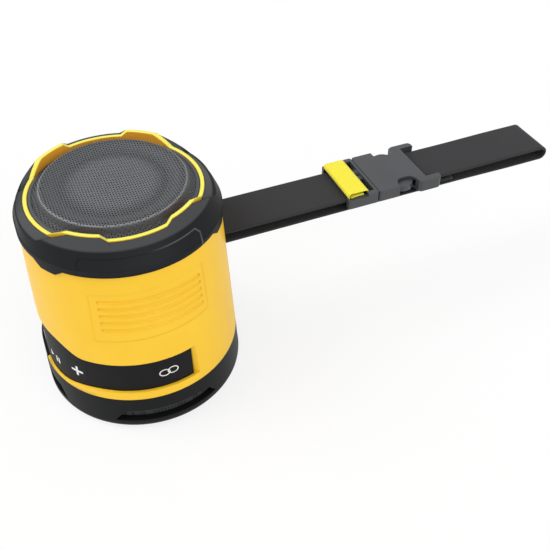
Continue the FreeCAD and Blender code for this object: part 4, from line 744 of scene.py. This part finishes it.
def sign_lines(name):
    """The lines of each key's sign: (path, width, closed), in millimetres about the sign's middle."""
    if name == "key_plus":
        # The upright is two bars that stop beside the crossbar, so that no printed face lies in another
        bars = bar(-3.2, 0, 3.2, 0), bar(0, -2.8, 0, -0.58), bar(0, 0.58, 0, 2.8)
        return [(line, HEAVY_LINE, False) for line in bars]
    if name == "key_minus":
        return [(bar(-3.0, 0, 3.0, 0), HEAVY_LINE, False)]
    if name == "key_play":
        # The triangle is filled by four shorter and shorter bars, and two more make the pause
        triangle = [(bar(x, -half, x, half), 0.7, False)
                    for x, half in ((-3.9, 1.5), (-3.3, 1.15), (-2.7, 0.8), (-2.1, 0.4))]
        return triangle + [(bar(x, -1.8, x, 1.8), 1.0, False) for x in (1.6, 3.5)]
    if name == "key_power":
        ring = circle_path(0, -0.2, 2.2, 125, 415, 30)
        return [(line, FINE_LINE, False) for line in (ring, bar(0, 0.4, 0, 2.7))]
    if name == "key_pairing":
        waves = [(circle_path(-1.8, 0, radius, -48, 48, 14), FINE_LINE, False) for radius in (1.5, 2.8, 4.1)]
        return waves + [(bar(-2.3, 0, -1.6, 0), 0.8, False)]
    # Two linked rings, one to each side of the middle
    return [(circle_path(0, 0, 1) * (2.35, 1.75) + (side * 1.95, side * 0.2), 0.5, True) for side in (-1, 1)]


def strip_section(half_width, thickness, columns=26, edge=5):
    """Closed outline across a strip of webbing as (across, through) pairs: flat faces and half-round edges."""
    r = thickness / 2
    x = np.linspace(-(half_width - r), half_width - r, columns)
    turn = np.linspace(90, -90, edge + 2)[1:-1]
    right = np.stack([half_width - r + r * np.cos(np.radians(turn)), r * np.sin(np.radians(turn))], -1)
    left = right[::-1] * (-1, 1)
    top = np.stack([x, np.full(columns, r)], -1)
    bottom = np.stack([x[::-1], np.full(columns, -r)], -1)
    return np.concatenate([top, right, bottom, left])


def carried(path, section):
    """Carries a closed section along a path in the YZ plane.
    Each path point has a normal, square to the path, along which the section's second number is laid."""
    ahead = np.gradient(path, axis=0)
    ahead /= np.linalg.norm(ahead, axis=1, keepdims=True)
    normal = np.stack([-ahead[:, 1], ahead[:, 0]], -1)
    across = section[:, 0][None, :]
    through = section[:, 1][None, :]
    y = path[:, 0][:, None] + normal[:, 0][:, None] * through
    z = path[:, 1][:, None] + normal[:, 1][:, None] * through
    points = np.stack([np.broadcast_to(across, y.shape), y, z], -1) * MM
    run = np.concatenate([[0], np.cumsum(np.linalg.norm(np.diff(path, axis=0), axis=1))])
    uv = np.stack([np.broadcast_to(across, y.shape), np.broadcast_to(run[:, None], y.shape)], -1)
    rows, columns = len(path), len(section)
    faces = [list(f) for f in grid_faces(rows, columns, close_columns=True)]
    faces.append(list(range(columns)))
    faces.append(list(range(rows * columns - 1, (rows - 1) * columns - 1, -1)))
    return points, faces, uv, run[-1]


def arc_points(cy, cz, radius, start, end, count=14):
    """Bend of a path in the YZ plane, between two angles in degrees."""
    turn = np.radians(np.linspace(start, end, count))
    return np.stack([cy + radius * np.cos(turn), cz + radius * np.sin(turn)], -1)


def line_points(y0, z0, y1, z1, step=2.0):
    """Straight run of a path in the YZ plane."""
    count = max(3, int(abs(y1 - y0) / step))
    return np.stack([np.linspace(y0, y1, count), np.linspace(z0, z1, count)], -1)


def eased_points(y0, z0, y1, z1, count=12):
    """A run that leaves and arrives level: its height follows 3t^2 - 2t^3."""
    t = np.linspace(0, 1, count)
    return np.stack([y0 + (y1 - y0) * t, z0 + (z1 - z0) * (3 * t ** 2 - 2 * t ** 3)], -1)


def joined(*parts):
    """One path from several, with doubled points left out."""
    path = np.concatenate(parts)
    keep = np.concatenate([[True], np.linalg.norm(np.diff(path, axis=0), axis=1) > 1e-4])
    return path[keep]


def size_property(name, description, default, low, high, subtype="NONE"):
    """Property that holds a size in millimetres, or a share with the subtype FACTOR."""
    return bpy.props.FloatProperty(
        name=name, description=description, default=default, min=low, max=high, subtype=subtype)


def colour_property(name, description, code):
    """Property that holds a hex colour."""
    return bpy.props.StringProperty(name=name, description=description + ", hex", default=code)


class SpeakerLook(bpy.types.PropertyGroup):
    """Sizes and colours that a user may change before building."""
    hole_pitch: size_property("Hole pitch", "Distance between the grille's holes, mm", 1.3, 1.0, 4.0)
    hole_share: size_property("Hole share", "Hole width as a share of the pitch", 0.72, 0.3, 0.8, "FACTOR")
    webbing_half_width: size_property("Webbing half width", "Half the strap's width, mm", 12.45, 8.0, 12.5)
    sign_lift: size_property("Sign lift", "How far printed signs stand proud, mm", 0.06, 0.01, 0.3)
    case_colour_low: colour_property("Case colour", "Yellow of the moulded case", "#fcc823")
    case_colour_high: colour_property("Case colour, lighter", "Lighter cloud in the case's yellow", "#ffce2b")
    # The crown's edge colour is a painted highlight on its top, and its inner colour is painted shade
    crown_top_highlight: colour_property("Crown edge colour", "Painted highlight on the crown's top", "#fff766")
    crown_inner_shade: colour_property("Crown inner colour", "Painted shade inside the crown", "#ffb43a")
    bumper_colour: colour_property("Bumper colour", "Charcoal of the bumper's faces", "#1a1b1d")
    # The slope and panel-edge colours are painted highlights
    bumper_slope_highlight: colour_property("Bumper slope colour", "Painted highlight on the upper slope", "#4c4d4f")
    panel_edge_highlight: colour_property("Panel edge colour", "Painted highlight along the bumper panel's edge", "#5c5e61")
    mesh_colour: colour_property("Grille colour", "Grey of the grille's dome", "#707275")
    # The grille's edge, valley and channel colours are a painted highlight and painted shade
    mesh_ridge_highlight: colour_property("Grille edge colour", "Painted highlight on the grille's raised edge", "#85878a")
    mesh_valley_shade: colour_property("Grille valley colour", "Painted shade in the grille's valley", "#595b5e")
    mesh_channel_shade: colour_property("Grille channel colour", "Painted shade in the channel round the grille", "#494a4d")
    buckle_colour: colour_property("Buckle colour", "Grey of the buckle", "#3f4144")
    buckle_light: colour_property("Buckle colour, lighter", "Lighter cloud in the buckle's grey", "#44464a")
    webbing_colour: colour_property("Webbing colour", "Dark of the woven strap", "#2b2b2d")
    webbing_light: colour_property("Webbing thread colour", "Raised threads of the strap", "#363638")
    ribbon_colour: colour_property("Ribbon colour", "Yellow of the ribbon tab", "#fff344")
    ribbon_low: colour_property("Ribbon colour, darker", "Yellow between the ribbon's ribs", "#efdf2c")


FINISHES = {}


def finishes():
    """Materials are made once, by the first operator that needs them."""
    if not FINISHES:
        FINISHES.update(make_materials(bpy.context.scene.speaker_look))
    return FINISHES


def paint(node, finish):
    """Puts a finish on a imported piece, whose mesh and place stay as they are."""
    data = NODES[node].data
    data.materials.clear()
    data.materials.append(finishes()[finish])


class SPEAKER_OT_case(bpy.types.Operator):
    """Finishes the moulded case, its bumper, keypad band and base."""
    bl_idname = "speaker.case"
    bl_label = "Case, bumper and base"

    def execute(self, context):
        for node, finish in (
                ("housing", "yellow_abs"), ("bumper", "bumper_tpe"), ("keypad_band", "key_rubber"),
                ("base_ring", "black_abs"), ("base_mesh", "black_mesh"), ("foot_pad", "foot_rubber"),
                ("port_cover", "key_rubber"), ("grille_ring", "black_abs"), ("strap_bar", "screw_steel")):
            paint(node, finish)
        for node in KEYS:
            paint(node, "key_rubber")
        lip = mesh_object("case_lip", *lip_surface())
        settle(lip, "case", "yellow_abs", finishes()["yellow_abs"])
        return {"FINISHED"}


class SPEAKER_OT_inside(bpy.types.Operator):
    """Finishes the pieces inside the case."""
    bl_idname = "speaker.inside"
    bl_label = "Inner pieces"

    def execute(self, context):
        for node, finish in (
                ("key_strip", "circuit_board"), ("base_screws", "screw_steel"), ("chassis_plate", "grey_abs"),
                ("passive_frame", "black_abs"), ("passive_plate", "passive_metal"),
                ("driver_gasket", "gasket_foam"), ("driver_basket", "driver_steel"),
                ("driver_screws", "screw_steel"), ("driver_top_plate", "driver_steel"),
                ("driver_magnet", "ferrite"), ("driver_yoke", "driver_steel"), ("voice_coil", "coil_copper"),
                ("cone", "cone_paper"), ("dust_cap", "cone_paper"), ("battery_cells", "cell_wrap"),
                ("battery_holder", "grey_abs"), ("main_board", "circuit_board"),
                ("charging_socket", "socket_steel")):
            paint(node, finish)
        return {"FINISHED"}


class SPEAKER_OT_rings(bpy.types.Operator):
    """Makes the spider and the two rubber rolls in sectors."""
    bl_idname = "speaker.rings"
    bl_label = "Flexible rings"

    def execute(self, context):
        step = 2 * math.pi / SECTORS
        for node, ring in RINGS.items():
            slot = "spider_cloth" if node == "spider" else "roll_rubber"
            for index in range(SECTORS):
                first = index * step
                points, faces = ring_sector(ring, first, first + step)
                piece = mesh_object(f"{node}_{index + 1}", points, faces)
                settle(piece, None, slot, finishes()[slot], *([] if index else [node]))
                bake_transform(piece)
        return {"FINISHED"}


class SPEAKER_OT_grille(bpy.types.Operator):
    """Makes the perforated dish over its acoustic cloth."""
    bl_idname = "speaker.grille"
    bl_label = "Grille"

    def execute(self, context):
        look = context.scene.speaker_look
        points, faces = perforated_dish(look.hole_pitch, look.hole_share)
        plate = mesh_object("grille_plate", points, faces, smooth=False)
        settle(plate, "case", "black_mesh", finishes()["mesh_steel"], "grille")
        # The cloth's first ring is so small that it closes the middle
        radii = np.append(np.linspace(0.01, CLOTH_BEND, 40), np.linspace(CLOTH_BEND + 0.4, DISH_EDGE, 24))
        points, faces = spun(np.column_stack([radii, dish_height(radii) - CLOTH_DEPTH]))
        settle(mesh_object("grille_cloth", points, faces), "case", "black_mesh", finishes()["cloth"])
        # Each point of the rim stands over the dish's top at the nearer one of the rim's two edges
        inner, outer = dish_height(np.array([RIM_INNER, DISH_EDGE]))
        middle = (RIM_INNER + DISH_EDGE) / 2
        rim = [(radius, (inner if radius < middle else outer) + rise) for radius, rise in RIM]
        points, faces = spun(rim, 160)
        settle(mesh_object("grille_rim", points, faces), "case", "black_mesh", finishes()["mesh_steel"])
        return {"FINISHED"}


class SPEAKER_OT_signs(bpy.types.Operator):
    """Prints the generic function signs on the keys."""
    bl_idname = "speaker.signs"
    bl_label = "Key signs"

    def execute(self, context):
        lift = context.scene.speaker_look.sign_lift
        for node, (angle, height) in KEYS.items():
            all_points, all_faces, start = [], [], 0
            for path, width, closed in sign_lines(node):
                left, right = stroke(path, width, closed)
                points, faces = printed_strip(angle, height, left, right, closed, lift)
                all_points.append(points.reshape(-1, 3))
                all_faces.append(faces + start)
                start += points.shape[0] * points.shape[1]
            sign = mesh_object("sign_" + node[4:], np.concatenate(all_points), np.concatenate(all_faces),
                               smooth=False)
            settle(sign, "body_" + node[4:], "key_rubber", finishes()["ink"])
        return {"FINISHED"}


def long_webbing(half_width):
    """The strap's long run: round the bar, out along the bottom, round the open far fold, back along the
    top and round the buckle's end bar."""
    section = strip_section(half_width, WEB_THICKNESS - WEB_ROOM)
    middle = STRAP_INSIDE + WEB_THICKNESS / 2
    end_radius = BAR_Z + middle - END_BAR_Z
    low = END_BAR_Z - end_radius
    path = joined(
        arc_points(BAR_Y, BAR_Z, middle, 90, 270),
        line_points(BAR_Y, BAR_Z - middle, STRAP_PARTS, BAR_Z - middle),
        eased_points(STRAP_PARTS, BAR_Z - middle, STRAP_OPEN, BAR_Z - STRAP_FAR_BEND),
        line_points(STRAP_OPEN, BAR_Z - STRAP_FAR_BEND, STRAP_FAR, BAR_Z - STRAP_FAR_BEND),
        arc_points(STRAP_FAR, BAR_Z, STRAP_FAR_BEND, -90, 90, 18),
        line_points(STRAP_FAR, BAR_Z + STRAP_FAR_BEND, STRAP_OPEN, BAR_Z + STRAP_FAR_BEND),
        eased_points(STRAP_OPEN, BAR_Z + STRAP_FAR_BEND, STRAP_PARTS, BAR_Z + middle),
        line_points(STRAP_PARTS, BAR_Z + middle, END_BAR_Y, BAR_Z + middle),
        arc_points(END_BAR_Y, END_BAR_Z, end_radius, 90, 270),
        line_points(END_BAR_Y, low, END_BAR_Y + END_FOLD, low))
    points, faces, uv, run = carried(path, section)
    long_run = mesh_object("webbing_long", points, faces, uv)
    settle(long_run, "strap", "webbing", finishes()["webbing"], "strap_long")


def short_webbing(half_width):
    """The strap's short run: from the bar to the buckle's adjuster bar, round it and back on top."""
    section = strip_section(half_width, WEB_THICKNESS - WEB_ROOM)
    top = BAR_Z + STRAP_INSIDE + WEB_THICKNESS / 2
    back = FOLD_BACK_LOW + WEB_THICKNESS / 2
    path = joined(
        line_points(BAR_Y + WEB_ROOM, top, ADJUSTER_Y, top),
        arc_points(ADJUSTER_Y, (top + back) / 2, (back - top) / 2, -90, 90),
        line_points(ADJUSTER_Y, back, FOLD_BACK_END, back))
    points, faces, uv, run = carried(path, section)
    short_run = mesh_object("webbing_short", points, faces, uv)
    settle(short_run, None, "webbing", finishes()["webbing"], "strap_short")
    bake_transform(short_run)


def ribbon_tab():
    """The ribbon sleeve on the short run's folded end: under it, round its end in an open nose, back over
    it and down round the fold."""
    centre = (BAR_Z + STRAP_INSIDE + WEB_THICKNESS / 2 + FOLD_BACK_LOW + WEB_THICKNESS / 2) / 2
    under = FOLD_BACK_LOW - TAB_GAP - TAB_THICKNESS / 2
    over = FOLD_BACK_LOW + WEB_THICKNESS + TAB_GAP + TAB_THICKNESS / 2
    near = FOLD_BACK_END - TAB_INSET
    path = joined(
        eased_points(ADJUSTER_Y - TAB_INSET, under, FOLD_BACK_END + TAB_LEVEL, under - 0.1, 6),
        arc_points(near, over - TAB_NOSE, TAB_NOSE, 255, 90, 20),
        line_points(near, over, ADJUSTER_Y, over),
        arc_points(ADJUSTER_Y, centre, over - centre, 90, 52, 10))
    points, faces, uv, run = carried(path, strip_section(TAB_HALF_WIDTH, TAB_THICKNESS, 30, 3))
    tab = mesh_object("ribbon_tab", points, faces, uv)
    settle(tab, "buckle", "tab_ribbon", finishes()["tab_ribbon"], "strap_tab")


class SPEAKER_OT_strap(bpy.types.Operator):
    """Makes the woven strap and its ribbon tab."""
    bl_idname = "speaker.strap"
    bl_label = "Strap"

    def execute(self, context):
        half_width = context.scene.speaker_look.webbing_half_width
        long_webbing(half_width)
        short_webbing(half_width)
        ribbon_tab()
        return {"FINISHED"}


class SPEAKER_OT_buckle(bpy.types.Operator):
    """Finishes the side-release buckle."""
    bl_idname = "speaker.buckle"
    bl_label = "Buckle"

    def execute(self, context):
        for node in ("buckle_male", "buckle_female", "buckle_arm_right", "buckle_arm_left"):
            paint(node, "buckle_pom")
        return {"FINISHED"}


def lamp(name, energy, direction, width, shine):
    """Wide soft sun from a direction: its width in degrees sets how soft its shadows are, and shine is its
    share in glossy highlights."""
    data = bpy.data.lights.new(name, "SUN")
    data.energy = energy
    data.angle = math.radians(width)
    data.specular_factor = shine
    made = bpy.data.objects.new(name, data)
    out = Vector(direction).normalized()
    made.location = Vector(LIGHT_AIM) + out * LIGHT_DISTANCE
    made.rotation_mode = "QUATERNION"
    made.rotation_quaternion = out.to_track_quat("Z", "Y")
    bpy.context.scene.collection.objects.link(made)
    return made


def camera():
    """Camera as the photograph was taken: place, viewing direction and focal length from the fitted rims."""
    data = bpy.data.cameras.new("camera")
    data.sensor_width = CAMERA_SENSOR
    data.lens = CAMERA_LENS
    data.clip_start = 0.01
    data.clip_end = 20.0
    data.shift_x, data.shift_y = CAMERA_SHIFT
    made = bpy.data.objects.new("camera", data)
    axes = Matrix((CAMERA_RIGHT, CAMERA_UP, CAMERA_BACK)).transposed().to_4x4()
    made.matrix_world = Matrix.Translation(CAMERA_PLACE) @ axes
    bpy.context.scene.collection.objects.link(made)
    bpy.context.scene.camera = made
    return made


def seen_white(tree, shader, share):
    """Lays plain white over a shader for rays from the camera and in reflections, by a share."""
    path = add(tree, "ShaderNodeLightPath")
    direct = add(tree, "ShaderNodeMath", {"operation": "MAXIMUM"}, _0=(path, "Is Camera Ray"),
                 _1=(path, "Is Transmission Ray"))
    seen = add(tree, "ShaderNodeMath", {"operation": "MAXIMUM"}, _0=direct, _1=(path, "Is Glossy Ray"))
    part = add(tree, "ShaderNodeMath", {"operation": "MULTIPLY"}, _0=seen, _1=share)
    white = add(tree, "ShaderNodeEmission", Color=linear("#ffffff"), Strength=1.0)
    both = add(tree, "ShaderNodeMixShader", _0=part, _1=shader, _2=white)
    output = next(node for node in tree.nodes if node.bl_idname.startswith("ShaderNodeOutput"))
    tree.links.new(both.outputs["Shader"], output.inputs["Surface"])


class SPEAKER_OT_stage(bpy.types.Operator):
    """Makes the floor, soft light and camera."""
    bl_idname = "speaker.stage"
    bl_label = "Stage"

    def execute(self, context):
        scene = context.scene
        scene.view_settings.view_transform = "Standard"
        corners = np.array([(-1, -1, 0), (1, -1, 0), (1, 1, 0), (-1, 1, 0)]) * FLOOR_HALF
        floor = mesh_object("floor", corners, [[0, 1, 2, 3]], smooth=False)
        white = material("matt_white_floor", "#fcfcfc", 0.9)
        seen_white(white.node_tree, white.node_tree.nodes["Principled BSDF"], FLOOR_WHITE)
        floor.data.materials.append(white)
        world = bpy.data.worlds.new("studio")
        world.use_nodes = True
        scene.world = world
        background = world.node_tree.nodes["Background"]
        background.inputs["Color"].default_value = linear("#ffffff")
        background.inputs["Strength"].default_value = WORLD_STRENGTH
        seen_white(world.node_tree, background, 1.0)
        for name, settings in LIGHTS.items():
            lamp(name, *settings)
        camera()
        return {"FINISHED"}


class SPEAKER_PT_panel(bpy.types.Panel):
    """Lists the speaker's operators."""
    bl_idname = "SPEAKER_PT_panel"
    bl_label = "Jobsite speaker"
    bl_space_type = "VIEW_3D"
    bl_region_type = "UI"
    bl_category = "Speaker"

    def draw(self, context):
        for operator in OPERATORS:
            self.layout.operator(operator.bl_idname)


OPERATORS = (SPEAKER_OT_case, SPEAKER_OT_inside, SPEAKER_OT_rings, SPEAKER_OT_grille, SPEAKER_OT_signs,
             SPEAKER_OT_strap, SPEAKER_OT_buckle, SPEAKER_OT_stage)
CLASSES = (SpeakerLook,) + OPERATORS + (SPEAKER_PT_panel,)


def register():
    """Adds the operators, the panel and the scene's properties."""
    for cls in CLASSES:
        bpy.utils.register_class(cls)
    bpy.types.Scene.speaker_look = bpy.props.PointerProperty(type=SpeakerLook)


def unregister():
    """Takes away what register() added."""
    del bpy.types.Scene.speaker_look
    for cls in reversed(CLASSES):
        bpy.utils.unregister_class(cls)


def main():
    """Builds the whole speaker and its stage."""
    register()
    bpy.ops.speaker.case()
    bpy.ops.speaker.inside()
    bpy.ops.speaker.rings()
    bpy.ops.speaker.grille()
    bpy.ops.speaker.signs()
    bpy.ops.speaker.strap()
    bpy.ops.speaker.buckle()
    bpy.ops.speaker.stage()


if __name__ == "__main__":
    main()
